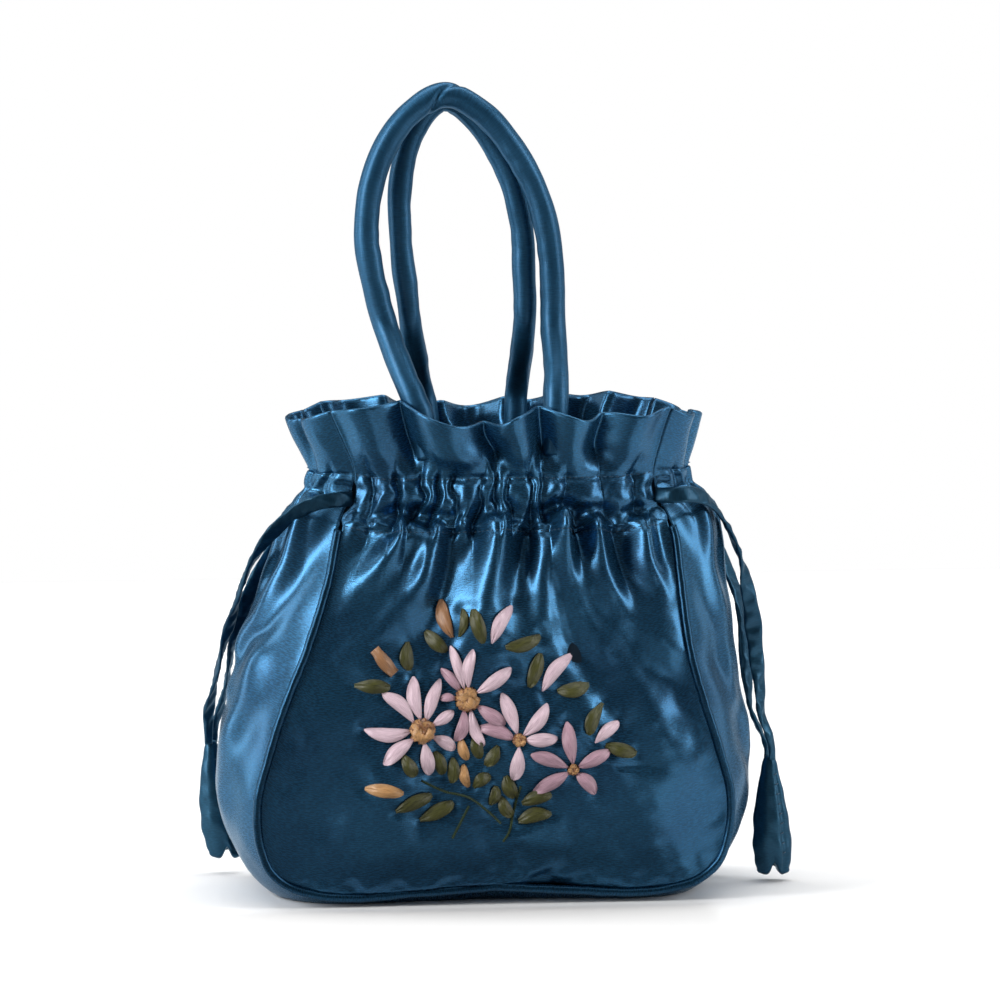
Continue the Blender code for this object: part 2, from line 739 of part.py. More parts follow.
def turned(middle, degrees, along, aside):
    a = math.radians(degrees)
    x = middle[0] + along * math.cos(a) - aside * math.sin(a)
    z = middle[1] + along * math.sin(a) + aside * math.cos(a)
    return x, z


def ribbon_loop(name, spec, width, finish, satin):
    """One pad of folded ribbon, pointed at both ends, with a raised middle, lying on the satin."""
    middle, length, degrees, share = spec
    half = width * share / 2
    outline = []
    for i in range(8):
        turn = 2 * math.pi * i / 8
        along = length / 2 * math.cos(turn)
        aside = half * math.sin(turn)
        outline.append(turned(middle, degrees, along, aside))
    bm = bmesh.new()
    under = [bm.verts.new(satin.at(x, z, GAP)) for x, z in outline]
    over = [bm.verts.new(satin.at(x, z, GAP + RIBBON)) for x, z in outline]
    foot = bm.verts.new(satin.at(*middle, GAP))
    crown = bm.verts.new(satin.at(*middle, GAP + RIBBON + RIBBON_CROWN))
    for i in range(8):
        j = (i + 1) % 8
        bm.faces.new((over[i], over[j], crown))
        bm.faces.new((under[j], under[i], foot))
        bm.faces.new((under[i], under[j], over[j], over[i]))
    return mesh_object(name, bm, finish)


def make_flower(name, satin):
    """Petals of arched ribbon fused with a domed centre: one star-shaped body."""
    middle, radius, arch, petals = FLOWERS[name]
    petals = sorted(petals)
    angles = [p[0] for p in petals]
    count = len(petals)
    root = radius * 1.15
    bm = bmesh.new()
    ring = []

    def pair(x, z, low, high):
        return bm.verts.new(satin.at(x, z, low)), bm.verts.new(satin.at(x, z, high))

    def stitch(a, b):
        bm.faces.new((a[0], b[0], b[1], a[1]))

    for i, (angle, reach, share) in enumerate(petals):
        before = (angle - angles[i - 1]) % 360
        after = (angles[(i + 1) % count] - angle) % 360
        spread = math.radians(0.42 * min(before, after, 50))
        half = PETAL_WIDTH * share / 2
        base = root * math.cos(spread)
        wide = root + (reach - root) * 0.5
        low, high = GAP, GAP + RIBBON
        a = pair(*turned(middle, angle, base, -root * math.sin(spread)), low, high)
        b = pair(*turned(middle, angle, wide, -half), low + arch, high + arch)
        tip = pair(*turned(middle, angle, reach, 0), low + arch * 0.8, high + arch * 0.8)
        c = pair(*turned(middle, angle, wide, half), low + arch, high + arch)
        d = pair(*turned(middle, angle, base, root * math.sin(spread)), low, high)
        hub = pair(*turned(middle, angle, wide, 0), low + arch, high + arch + RIBBON_CROWN)
        rim = (a, b, tip, c, d)
        for p, q in zip(rim, (*rim[1:], a)):
            bm.faces.new((p[1], q[1], hub[1]))
            bm.faces.new((q[0], p[0], hub[0]))
        for p, q in zip(rim, rim[1:]):
            stitch(p, q)
        ring += [a, d]
    dome = []
    for i in range(len(ring)):
        low_x, low_z = ring[i][1].co.x, ring[i][1].co.z
        x = middle[0] + (low_x - middle[0]) * 0.68
        z = middle[1] + (low_z - middle[1]) * 0.68
        dome.append(bm.verts.new(satin.at(x, z, CENTRE_HEIGHT * 0.85)))
    foot = bm.verts.new(satin.at(*middle, GAP))
    top = bm.verts.new(satin.at(*middle, CENTRE_HEIGHT))
    for i, here in enumerate(ring):
        j = (i + 1) % len(ring)
        bm.faces.new((here[1], ring[j][1], dome[j], dome[i]))
        bm.faces.new((dome[i], dome[j], top))
        bm.faces.new((ring[j][0], here[0], foot))
        if i % 2:
            stitch(here, ring[j])
    return mesh_object(name, bm, PINK)


def make_stem(name, route, satin):
    lift = GAP + STEM_DIAMETER / 2
    points = [tuple(satin.at(x, z, lift)) for x, z in even_points(route, 8)]
    return tube(name, points, STEM_DIAMETER, 0, THREAD)


def make_embroidery():
    satin = Satin()
    for name in FLOWERS:
        make_flower(name, satin)
    for number, spec in enumerate(LOOSE_PETALS, 1):
        ribbon_loop(f"petal_{number}", spec, PETAL_WIDTH, PINK, satin)
    for number, spec in enumerate(BUDS, 1):
        ribbon_loop(f"bud_{number}", spec, PETAL_WIDTH, GOLD, satin)
    for number, spec in enumerate(LEAVES, 1):
        ribbon_loop(f"leaf_{number:02d}", spec, LEAF_WIDTH, OLIVE, satin)
    for number, route in enumerate(STEMS, 1):
        make_stem(f"stem_{number}", route, satin)


def cord_points(route):
    """A point every two diameters or so along the smooth curve through the route."""
    length = chord_stations(route)[-1]
    return even_points(route, round(length / (1.6 * CORD_DIAMETER)) + 1)


def make_cords():
    routes = {
        "drawcord_left_front": CORD_LEFT_FRONT,
        "drawcord_left_back": CORD_LEFT_BACK,
        "drawcord_right_front": CORD_RIGHT_FRONT,
        "drawcord_right_back": CORD_RIGHT_BACK,
    }
    for name, route in routes.items():
        tube(name, cord_points(route), CORD_DIAMETER, 2, CORD_SATIN)
    channel_cord("channel_cord_front", back=False)
    channel_cord("channel_cord_back", back=True)
    make_tassel("tassel_left", LEFT_TASSEL_TOP)
    make_tassel("tassel_right", RIGHT_TASSEL_TOP)


def main():
    clear_scene()
    for collection in list(bpy.data.collections):
        bpy.data.collections.remove(collection)
    bag = bpy.data.collections.new("drawstring_handbag")
    bpy.context.scene.collection.children.link(bag)
    make_panel("front_panel", FRONT_COLUMNS, 0.4, back=False)
    make_panel("back_panel", BACK_COLUMNS, 1.9, back=True)
    make_gusset()
    make_piping("piping_front", back=False)
    make_piping("piping_back", back=True)
    make_lining()
    make_handle("handle_front", FRONT_HANDLE, HANDLE_DIAMETER, False, surface_of("front_panel"))
    make_handle("handle_back", BACK_HANDLE, BACK_HANDLE_DIAMETER, True, surface_of("back_panel"))
    make_cords()
    make_embroidery()


main()
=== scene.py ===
"""Looks of the satin drawstring handbag: gathered satin, frill, handles, drawcords and ribbon embroidery.

Everything is in metres in the frame's own space: +Z up, -Y the embroidered front, +X the right-hand side.
"""

import math
import random

import bmesh
import bpy
import numpy as np
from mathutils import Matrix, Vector
from mathutils.bvhtree import BVHTree


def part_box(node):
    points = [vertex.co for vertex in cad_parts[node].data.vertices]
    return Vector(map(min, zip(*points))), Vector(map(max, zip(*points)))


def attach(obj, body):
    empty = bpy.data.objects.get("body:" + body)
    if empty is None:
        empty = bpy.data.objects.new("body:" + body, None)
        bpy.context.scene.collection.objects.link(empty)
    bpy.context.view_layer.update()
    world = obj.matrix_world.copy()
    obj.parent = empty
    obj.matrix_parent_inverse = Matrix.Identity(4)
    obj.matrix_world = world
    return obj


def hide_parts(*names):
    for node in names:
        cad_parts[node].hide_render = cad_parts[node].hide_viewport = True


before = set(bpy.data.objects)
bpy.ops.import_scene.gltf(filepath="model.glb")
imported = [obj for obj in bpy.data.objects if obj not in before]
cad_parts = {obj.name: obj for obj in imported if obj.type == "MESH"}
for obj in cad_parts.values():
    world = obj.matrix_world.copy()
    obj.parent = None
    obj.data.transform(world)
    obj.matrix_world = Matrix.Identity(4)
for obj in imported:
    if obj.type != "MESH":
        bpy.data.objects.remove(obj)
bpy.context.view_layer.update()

# The bag's own sizes, as in the CAD
PANEL_HALF = 0.0985
HALF_DEPTH = 0.046
BODY_HEIGHT = 0.157
CASING_HEIGHT = 0.020
RUFFLE_HEIGHT = 0.026
RIM_HEIGHT = BODY_HEIGHT + CASING_HEIGHT + RUFFLE_HEIGHT
NECK_LEAN = 0.0068
RIM_RETURN = 0.0018
PIPING_RADIUS = 0.0018
CLOTH = 0.0005
RIBBON = 0.00025
HEM = 0.0008  # radius of the fold at the rim
# Gaps beside a panel's seam: all along it, more at the piping and more at the cord's slit
SEAM_GAP = 0.0002
PIPING_GAP = 0.0013
SLIT_GAP = 0.0016

# Half of a panel's sewn edge: share of PANEL_HALF, level, side strip's puff as a share of HALF_DEPTH
PANEL_EDGE = (
    (0.000, 0.048, 0.30),
    (0.350, 0.034, 0.30),
    (0.600, 0.025, 0.30),
    (0.735, 0.033, 0.26),
    (0.883, 0.064, 0.20),
    (0.944, 0.099, 0.185),
    (0.988, 0.172, 0.22),
    (1.000, 0.268, 0.30),
    (0.943, 0.420, 0.39),
    (0.880, 0.541, 0.44),
    (0.818, 0.656, 0.485),
    (0.748, 0.841, 0.465),
    (0.700, 1.000, 0.435),
    (0.655, 1.500, 0.40),
    (0.635, 2.000, 0.36),
    (0.670, 2.500, 0.34),
    (0.720, 3.000, 0.325),
)
EDGE_CORNER = 5
# Level, depth of the sewn edge and of the panel's middle, as shares of HALF_DEPTH
PANEL_DEPTH = (
    (0.00, 0.90, 0.93),
    (0.12, 0.93, 1.00),
    (0.35, 0.95, 1.06),
    (0.60, 0.90, 1.01),
    (0.85, 0.70, 0.85),
    (1.00, 0.50, 0.74),
    (1.50, 0.42, 0.68),
    (2.00, 0.42, 0.66),
    (2.50, 0.46, 0.74),
    (3.00, 0.50, 0.82),
)

# The photograph's camera
CAMERA_AIM = (0.00173, -0.045, 0.1685)
CAMERA_AZIMUTH = -7.0
CAMERA_ELEVATION = 6.0
CAMERA_DISTANCE = 2.4
FRAME_WIDTH = 0.410
SENSOR = 36.0

# Free drawcord ends, from the end of the channel to the top of the tassel
CORD_LEFT_FRONT = (
    (-0.0565, -0.0181, 0.1670), (-0.0594, -0.0210, 0.1671), (-0.0640, -0.0235, 0.1671),
    (-0.0708, -0.0222, 0.1660), (-0.0775, -0.0188, 0.1630), (-0.0840, -0.0138, 0.1578),
    (-0.0913, -0.0070, 0.1488), (-0.0962, 0.0005, 0.1397), (-0.1000, 0.0082, 0.1297),
    (-0.1024, 0.0158, 0.1192), (-0.1044, 0.0220, 0.1105), (-0.1070, 0.0280, 0.1000),
    (-0.1088, 0.0330, 0.0896), (-0.1108, 0.0380, 0.0791), (-0.1120, 0.0442, 0.0691),
    (-0.1118, 0.0468, 0.0610), (-0.1118, 0.0471, 0.0560),
)
CORD_LEFT_BACK = (
    (-0.0565, 0.0181, 0.1670), (-0.0594, 0.0210, 0.1669), (-0.0648, 0.0236, 0.1652),
    (-0.0735, 0.0232, 0.1578), (-0.0830, 0.0212, 0.1465), (-0.0910, 0.0197, 0.1345),
    (-0.0968, 0.0228, 0.1215), (-0.1010, 0.0290, 0.1070), (-0.1028, 0.0350, 0.0975),
    (-0.1036, 0.0410, 0.0890), (-0.1044, 0.0462, 0.0805), (-0.1062, 0.0500, 0.0720),
    (-0.1091, 0.0516, 0.0610), (-0.1092, 0.0519, 0.0560),
)
CORD_RIGHT_FRONT = (
    (0.0701, -0.0181, 0.1670), (0.0730, -0.0210, 0.1671), (0.0773, -0.0235, 0.1674),
    (0.0835, -0.0222, 0.1675), (0.0892, -0.0182, 0.1662), (0.0943, -0.0133, 0.1628),
    (0.0992, -0.0090, 0.1570), (0.1052, -0.0050, 0.1466), (0.1092, -0.0020, 0.1365),
    (0.1117, 0.0000, 0.1269), (0.1136, 0.0010, 0.1182), (0.1150, 0.0018, 0.1092),
    (0.1163, 0.0018, 0.0964), (0.1177, 0.0012, 0.0836), (0.1186, 0.0004, 0.0706),
    (0.1214, -0.0002, 0.0630), (0.1228, -0.0003, 0.0572), (0.1229, -0.0003, 0.0522),
)
CORD_RIGHT_BACK = (
    (0.0701, 0.0181, 0.1670), (0.0730, 0.0210, 0.1669), (0.0785, 0.0238, 0.1654),
    (0.0870, 0.0224, 0.1580), (0.0952, 0.0180, 0.1488), (0.1020, 0.0138, 0.1400),
    (0.1066, 0.0112, 0.1296), (0.1102, 0.0095, 0.1191), (0.1117, 0.0087, 0.1100),
    (0.1127, 0.0085, 0.0961), (0.1138, 0.0080, 0.0833), (0.1150, 0.0074, 0.0726),
    (0.1192, 0.0060, 0.0628), (0.1214, 0.0052, 0.0572), (0.1215, 0.0051, 0.0522),
)
CORD_WIDTH = 0.0070
CORD_THICKNESS = 0.0020
LEFT_TASSEL_TOP = (-0.1105, 0.0495, 0.0557)
RIGHT_TASSEL_TOP = (0.1222, 0.0024, 0.0519)
TASSEL_LENGTH = 0.050
TASSEL_HALF_WIDTH = 0.0080
TASSEL_HALF_DEPTH = 0.0056
TASSEL_CAP = 0.0016  # its rise above the cord's end
# Along a tassel: share of its length and of its full width
TASSEL_SHAPE = (
    (0, 0.22), (0.04, 0.34), (0.15, 0.50), (0.35, 0.76), (0.6, 0.97), (0.8, 1.0), (0.92, 0.86),
    (0.98, 0.60), (1.0, 0.10),
)

# Handles: side position and height above the rim
FRONT_HANDLE = (
    (-0.0250, -0.0100), (-0.0390, 0.0270), (-0.0455, 0.0510), (-0.0490, 0.0750), (-0.0470, 0.0925),
    (-0.0405, 0.1095), (-0.0315, 0.1215), (-0.0160, 0.1300), (-0.0005, 0.1220), (0.0095, 0.1110),
    (0.0178, 0.0980), (0.0262, 0.0750), (0.0284, 0.0510), (0.0288, 0.0270), (0.0270, -0.0090),
)
BACK_HANDLE = (
    (-0.0185, -0.0100), (-0.0282, 0.0270), (-0.0318, 0.0510), (-0.0340, 0.0745), (-0.0338, 0.0920),
    (-0.0318, 0.1045), (-0.0275, 0.1160), (-0.0165, 0.1275), (-0.0020, 0.1180), (0.0100, 0.0990),
    (0.0146, 0.0860), (0.0170, 0.0740), (0.0181, 0.0510), (0.0182, 0.0270), (0.0165, -0.0090),
)
HANDLE_DIAMETER = 0.0104
BACK_HANDLE_DIAMETER = 0.0096
HANDLE_TUCK = 0.009
HANDLE_TUCK_RINGS = 12

# Valleys of the gathers across the front channel, and of the frill's lobes, u from -1 to 1
FRONT_GATHERS = (-0.86, -0.70, -0.60, -0.49, -0.33, -0.20, -0.07, 0.03, 0.13, 0.25, 0.37, 0.66, 0.84)
BACK_GATHERS = (-0.88, -0.71, -0.60, -0.43, -0.24, -0.10, 0.05, 0.16, 0.33, 0.50, 0.62, 0.81)
FRONT_FRILL = ((-1.10, 1.0), (-0.62, 1.0), (-0.09, 0.9), (0.25, 0.7), (0.62, 0.9), (1.05, 0))
BACK_FRILL = ((-1.05, 0.8), (-0.66, 1.0), (-0.28, 0.9), (0.12, 1.0), (0.45, 0.8), (0.74, 0.9), (1.10, 0))
SIDE_GATHERS = (-0.66, -0.30, 0.10, 0.52)
SIDE_FRILL = ((-1.2, 1.0), (-0.34, 0.9), (0.42, 1.0), (1.2, 0))
# Where the same valleys reach the upper stitch row
FRONT_UPPER = (-0.89, -0.73, -0.56, -0.45, -0.36, -0.16, -0.10, 0.01, 0.16, 0.23, 0.40, 0.62, 0.86)
BACK_UPPER = (-0.84, -0.74, -0.56, -0.46, -0.20, -0.12, 0.08, 0.19, 0.30, 0.52, 0.66, 0.78)

# Long folds of the front: points (x, z) along the crest from the channel down, half-width and height
FRONT_FOLDS = (
    (((-0.0351, 0.1533), (-0.0450, 0.1394), (-0.0548, 0.1276), (-0.0623, 0.1118)), 0.0065, 0.0056),
    (((-0.0252, 0.1531), (-0.0306, 0.1352), (-0.0427, 0.1194), (-0.0521, 0.1000)), 0.0056, 0.0048),
    (((0.0028, 0.1548), (-0.0008, 0.1348), (-0.0039, 0.1188), (-0.0029, 0.1000)), 0.0075, 0.0062),
    (((0.0264, 0.1544), (0.0225, 0.1364), (0.0207, 0.1225), (0.0182, 0.1105)), 0.0065, 0.0050),
    (((0.0300, 0.1564), (0.0349, 0.1343), (0.0409, 0.1173), (0.0523, 0.1037), (0.0631, 0.0915)),
     0.0056, 0.0058),
    (((0.0426, 0.1543), (0.0466, 0.1341), (0.0576, 0.1187), (0.0714, 0.1088), (0.0806, 0.1045)),
     0.0055, 0.0054),
    (((0.0636, 0.1539), (0.0659, 0.1378), (0.0721, 0.1257), (0.0781, 0.1112)), 0.0055, 0.0052),
    (((-0.0406, 0.0576), (-0.0456, 0.0369), (-0.0432, 0.0194)), 0.0120, 0.0022),
    (((0.0099, 0.0283), (0.0232, 0.0239), (0.0391, 0.0227)), 0.0090, 0.0020),
    (((0.0682, 0.0764), (0.0783, 0.0554), (0.0641, 0.0348), (0.0516, 0.0225)), 0.0130, 0.0034),
)

CREST_POINTS = 160
STRIP_CREST_POINTS = 120
GATHER_DEPTH = 0.0040
GATHER_REACHES = (0.014, 0.020, 0.042)  # levels over which a gather fades out

# Rises and dips of the rim across a panel, as shares of RIM_DRIFT
FRONT_RIM = (
    (-1, 0.0), (-0.8, 1.0), (-0.62, 0.8), (-0.42, -0.5), (-0.2, -2.1), (-0.05, -1.9), (0.05, -0.5),
    (0.18, -0.1), (0.36, -0.6), (0.55, -1.7), (0.68, -0.8), (0.85, -0.7), (1, 0.0),
)
BACK_RIM = (
    (-1, 0.0), (-0.7, 0.2), (-0.3, -0.9), (-0.1, -1.1), (0.15, -0.4), (0.45, 0.1), (0.75, 0.5), (1, 0.0),
)
RIM_DRIFT = 0.0028

# Relief of a panel, in metres
FRILL_WAVE = 0.0132
CASING_PUFF = 0.0010
STITCH_DIP = 0.0012
STITCH_DIP_REACH = 0.0016
FOLD_GAIN = 1.22
SWELL = 0.0016
CRUMPLE = 0.00060
FINE_CREASE = 0.00012
SEAM_PUCKER = 0.00045
SEAM_PUCKER_REACH = 0.0035
PIN_REACH = 0.0030

# Relief of the side strip, in metres
STRIP_GATHER = 0.0020
STRIP_FRILL_WAVE = 0.0065
STRIP_STITCH_DIP = 0.0009
STRIP_DIP_REACH = 0.0015
STRIP_CRUMPLE = 0.00045
STRIP_RIM_RISE = 0.0022

# Machine stitches of the casing, and the hand stitches of a tassel
STITCH_LENGTH = 0.0019
STITCH_GAP = 0.0008
STITCH_RADIUS = 0.00020
CROSS_STITCH_STEP = 0.0042
CROSS_STITCH_HALF = 0.0013
CROSS_STITCH_RADIUS = 0.00022
STITCH_SIDES = 6


def smooth(stations, values, at):
    """A cubic curve through the values, read at one or more stations."""
    s = np.asarray(stations, float)
    p = np.asarray(values, float).reshape(len(s), -1)
    slope = np.gradient(p, s, axis=0)
    at = np.clip(np.atleast_1d(np.asarray(at, float)), s[0], s[-1])
    i = np.clip(np.searchsorted(s, at, side="right") - 1, 0, len(s) - 2)
    span = (s[i + 1] - s[i])[:, None]
    t = (at - s[i])[:, None] / span
    start = (2 * t**3 - 3 * t**2 + 1) * p[i] + (t**3 - 2 * t**2 + t) * span * slope[i]
    end = (3 * t**2 - 2 * t**3) * p[i + 1] + (t**3 - t**2) * span * slope[i + 1]
    return start + end


def read_table(pairs, at):
    """The smooth curve through (station, value) pairs, read at each place."""
    marks, values = zip(*pairs)
    return smooth(marks, values, at)[:, 0]


def chord_stations(points):
    steps = np.linalg.norm(np.diff(np.asarray(points, float), axis=0), axis=1)
    return np.concatenate(([0.0], np.cumsum(steps)))


def even_points(points, count):
    stations = chord_stations(points)
    return smooth(stations, points, np.linspace(0, stations[-1], count))


def ramp(low, high, value):
    t = np.clip((np.asarray(value, float) - low) / (high - low), 0.0, 1.0)
    return t * t * (3 - 2 * t)


def turns_around(count):
    return 2 * math.pi * np.arange(count) / count


LEVEL_MARKS = (0.0, 1.0, 2.0, 3.0)
HEIGHT_MARKS = (0.0, BODY_HEIGHT, BODY_HEIGHT + CASING_HEIGHT, RIM_HEIGHT)


def height_at(level):
    return np.interp(level, LEVEL_MARKS, HEIGHT_MARKS)


def level_of_height(z):
    return np.interp(z, HEIGHT_MARKS, LEVEL_MARKS)


def lean(level):
    return NECK_LEAN * ramp(0.5, 1.0, level) - RIM_RETURN * ramp(2.0, 3.0, level)


EDGE_ROWS = np.array([(PANEL_HALF * x, height_at(level), HALF_DEPTH * puff) for x, level, puff in PANEL_EDGE])
EDGE_STATIONS = chord_stations(EDGE_ROWS[:, :2])
CORNER_STATION = EDGE_STATIONS[EDGE_CORNER]
CORNER_LEVEL = PANEL_EDGE[EDGE_CORNER][1]
SIDE_TABLE = np.linspace(CORNER_STATION, EDGE_STATIONS[-1], 600)
SIDE_TABLE_LEVELS = level_of_height(smooth(EDGE_STATIONS, EDGE_ROWS, SIDE_TABLE)[:, 1])


def edge_at(stations):
    """Sewn edge of a panel: x, level, side puff and outward direction in XZ, at each station."""
    stations = np.atleast_1d(stations)
    x, z, puff = smooth(EDGE_STATIONS, EDGE_ROWS, stations).T
    step = 0.001
    before = smooth(EDGE_STATIONS, EDGE_ROWS[:, :2], stations - step)
    after = smooth(EDGE_STATIONS, EDGE_ROWS[:, :2], stations + step)
    along = (after - before) / np.linalg.norm(after - before, axis=1)[:, None]
    return x, level_of_height(z), puff, np.stack([along[:, 1], -along[:, 0]], 1)


def station_of_level(level):
    return np.interp(level, SIDE_TABLE_LEVELS, SIDE_TABLE)


def depths(level):
    table = [r[1:] for r in PANEL_DEPTH]
    shape = np.shape(level)
    both = smooth([r[0] for r in PANEL_DEPTH], table, np.ravel(level)) * HALF_DEPTH
    return both[:, 0].reshape(shape), both[:, 1].reshape(shape)


def seam_clearance(level):
    """The cloth's edge touches the piping, opens at the cord's slit and closes above it."""
    slit = SLIT_GAP * ramp(1.15, 1.35, level) * (1 - ramp(1.7, 1.9, level))
    piping = PIPING_GAP * (1 - ramp(0.97, 1.1, level))
    return SEAM_GAP + piping + slit


def lobes(u, valleys, sharpness):
    """Puffed lobes between valleys: 0 in a valley and up to 1 on a crest, scaled by each lobe's width."""
    marks = np.array([-1.0, *valleys, 1.0])
    i = np.clip(np.searchsorted(marks, u, side="right") - 1, 0, len(marks) - 2)
    width = marks[i + 1] - marks[i]
    t = np.clip((u - marks[i]) / width, 0.0, 1.0)
    return np.sin(math.pi * t) ** sharpness, width


def round_lobes(u, pairs):
    """Rounded waves between marks, which may lie beyond the edges: 0 at a mark, its share half-way."""
    marks, shares = np.array(pairs).T
    i = np.clip(np.searchsorted(marks, u, side="right") - 1, 0, len(marks) - 2)
    width = marks[i + 1] - marks[i]
    t = np.clip((u - marks[i]) / width, 0.0, 1.0)
    flatness = np.clip(0.95 - width, 0.32, 0.9)
    return shares[i] * (0.5 - 0.5 * np.cos(2 * math.pi * t)) ** flatness


def gather_lobes(u, lv, valleys, seed):
    """Lobes between the valleys, which wander from one stitch row to the other, and their own reach."""
    low = np.array([-1.0, *valleys[0], 1.0])
    high = np.array([-1.0, *valleys[1], 1.0])
    up = ramp(1.05, 1.95, lv[:, 0])
    unbent = np.stack([np.interp(row, low + (high - low) * t, low) for row, t in zip(u, up)])
    pleat, width = lobes(unbent, valleys[0], 0.85)
    place = np.clip(np.searchsorted(low, unbent, side="right") - 1, 0, len(low) - 2)
    rng = random.Random(seed)
    vigour = np.array([rng.uniform(0.60, 1.30) for _ in low])[place] * (1 - up[:, None])
    vigour = vigour + np.array([rng.uniform(0.60, 1.30) for _ in low])[place] * up[:, None]
    reach = np.array([rng.choice(GATHER_REACHES) for _ in low])[place]
    depth = GATHER_DEPTH * np.clip(width / 0.12, 0.7, 1.1) * np.clip(1.3 - width / 0.40, 0.35, 1.0)
    return depth * vigour * (pleat - 0.35), reach


def nearest_on_route(across, up):
    """From the offsets to every point of a route: the distance, and how far along, from 0 to 1."""
    gap = np.sqrt(across * across + up * up)
    return gap.min(axis=-1), gap.argmin(axis=-1) / (gap.shape[-1] - 1)


def noise_field(seed, count, low, high):
    """A sum of plane waves with random directions: a smooth, repeatable bumpy field."""
    rng = random.Random(seed)
    waves = []
    for _ in range(count):
        angle = rng.uniform(0, math.pi)
        number = 2 * math.pi / rng.uniform(low, high)
        waves.append((number * math.cos(angle), number * math.sin(angle), rng.uniform(0, 2 * math.pi)))

    def field(a, b):
        total = 0.0
        for ka, kb, phase in waves:
            total = total + np.sin(ka * a + kb * b + phase)
        return total / math.sqrt(count)

    return field


# Materials


def set_inputs(node, values):
    for socket, value in values.items():
        node.inputs[socket].default_value = value


def new_material(name, colour, roughness, metallic=0.0):
    made = bpy.data.materials.new(name)
    made.use_nodes = True
    shader = made.node_tree.nodes["Principled BSDF"]
    set_inputs(shader, {"Base Color": (*colour, 1.0), "Roughness": roughness, "Metallic": metallic})
    return made, made.node_tree, shader


def add_node(tree, kind, **values):
    node = tree.nodes.new(kind)
    for key, value in values.items():
        if key in node.inputs:
            node.inputs[key].default_value = value
        else:
            setattr(node, key, value)
    return node


def mapped_noise(tree, space, scale, detail):
    """Noise whose scale differs along each axis of the given coordinates."""
    coordinates = tree.nodes.new("ShaderNodeTexCoord")
    mapping = add_node(tree, "ShaderNodeMapping", Scale=scale)
    noise = add_node(tree, "ShaderNodeTexNoise", Scale=1.0, Detail=detail)
    tree.links.new(coordinates.outputs[space], mapping.inputs["Vector"])
    tree.links.new(mapping.outputs["Vector"], noise.inputs["Vector"])
    return noise.outputs["Fac"]


def mix_colours(tree, factor, dark, light):
    mix = tree.nodes.new("ShaderNodeMix")
    mix.data_type = "RGBA"
    mix.inputs["A"].default_value = (*dark, 1.0)
    mix.inputs["B"].default_value = (*light, 1.0)
    tree.links.new(factor, mix.inputs["Factor"])
    return mix.outputs["Result"]


def multiply(tree, colour, factor):
    mix = tree.nodes.new("ShaderNodeMix")
    mix.data_type = "RGBA"
    mix.blend_type = "MULTIPLY"
    mix.inputs["Factor"].default_value = 1.0
    tree.links.new(colour, mix.inputs["A"])
    tree.links.new(factor, mix.inputs["B"])
    return mix.outputs["Result"]


def spread(tree, source, low, high, to_low=0.0, to_high=1.0):
    node = tree.nodes.new("ShaderNodeMapRange")
    set_inputs(node, {"From Min": low, "From Max": high, "To Min": to_low, "To Max": to_high})
    tree.links.new(source, node.inputs["Value"])
    return node.outputs["Result"]


def add_bump(tree, shader, height, strength, distance):
    bump = add_node(tree, "ShaderNodeBump", Strength=strength, Distance=distance)
    tree.links.new(height, bump.inputs["Height"])
    tree.links.new(bump.outputs["Normal"], shader.inputs["Normal"])


def satin_material(name, dark, light, roughness, metallic, coat, weave=0.35):
    """Satin: a fine thread grain along the cloth, soft blotches in its colour, a sharp and a broad sheen."""
    made, tree, shader = new_material(name, light, roughness, metallic)
    set_inputs(shader, {
        "Anisotropic": 0.3,
        "Specular IOR Level": 0.3,
        "Specular Tint": (0.40, 0.55, 0.66, 1.0),
        "Coat Weight": coat,
        "Coat Roughness": 0.30,
    })
    blotch = mapped_noise(tree, "Object", (28.0, 28.0, 28.0), 3.0)
    threads = mapped_noise(tree, "UV", (420.0, 2600.0, 1.0), 1.0)
    cloudy = mix_colours(tree, spread(tree, blotch, 0.35, 0.65), dark, light)
    tone = spread(tree, threads, 0.3, 0.7, 0.78, 1.18)
    tree.links.new(multiply(tree, cloudy, tone), shader.inputs["Base Color"])
    rough = spread(tree, threads, 0.3, 0.7, roughness - 0.05, roughness + 0.05)
    tree.links.new(rough, shader.inputs["Roughness"])
    add_bump(tree, shader, threads, weave, 0.0002)
    return made


def ribbon_material(name, dark, light, roughness):
    """Narrow satin ribbon: fine ridges along its length, with painted shade darkening it towards its edges.
    """
    made, tree, shader = new_material(name, light, roughness)
    set_inputs(shader, {"Sheen Weight": 0.15, "Specular IOR Level": 0.45})
    ridges = mapped_noise(tree, "UV", (2.0, 30.0, 1.0), 3.0)
    colour = mix_colours(tree, spread(tree, ridges, 0.30, 0.60), dark, light)
    # Painted shade: the colour falls to 0.68 of itself towards the ribbon's edges, as if they were in shadow.
    coordinates = tree.nodes.new("ShaderNodeTexCoord")
    apart = tree.nodes.new("ShaderNodeSeparateXYZ")
    tree.links.new(coordinates.outputs["UV"], apart.inputs["Vector"])
    outward = add_node(tree, "ShaderNodeMath", operation="ABSOLUTE")
    tree.links.new(apart.outputs["Y"], outward.inputs[0])
    painted_edge_shade = spread(tree, outward.outputs["Value"], 0.24, 0.50, 1.0, 0.68)
    tree.links.new(multiply(tree, colour, painted_edge_shade), shader.inputs["Base Color"])
    add_bump(tree, shader, ridges, 0.35, 0.0003)
    return made


def thread_material(name, dark, light):
    made, tree, shader = new_material(name, light, 0.5)
    twist = mapped_noise(tree, "Object", (1800.0, 1800.0, 1800.0), 2.0)
    colour = mix_colours(tree, spread(tree, twist, 0.35, 0.65), dark, light)
    tree.links.new(colour, shader.inputs["Base Color"])
    return made


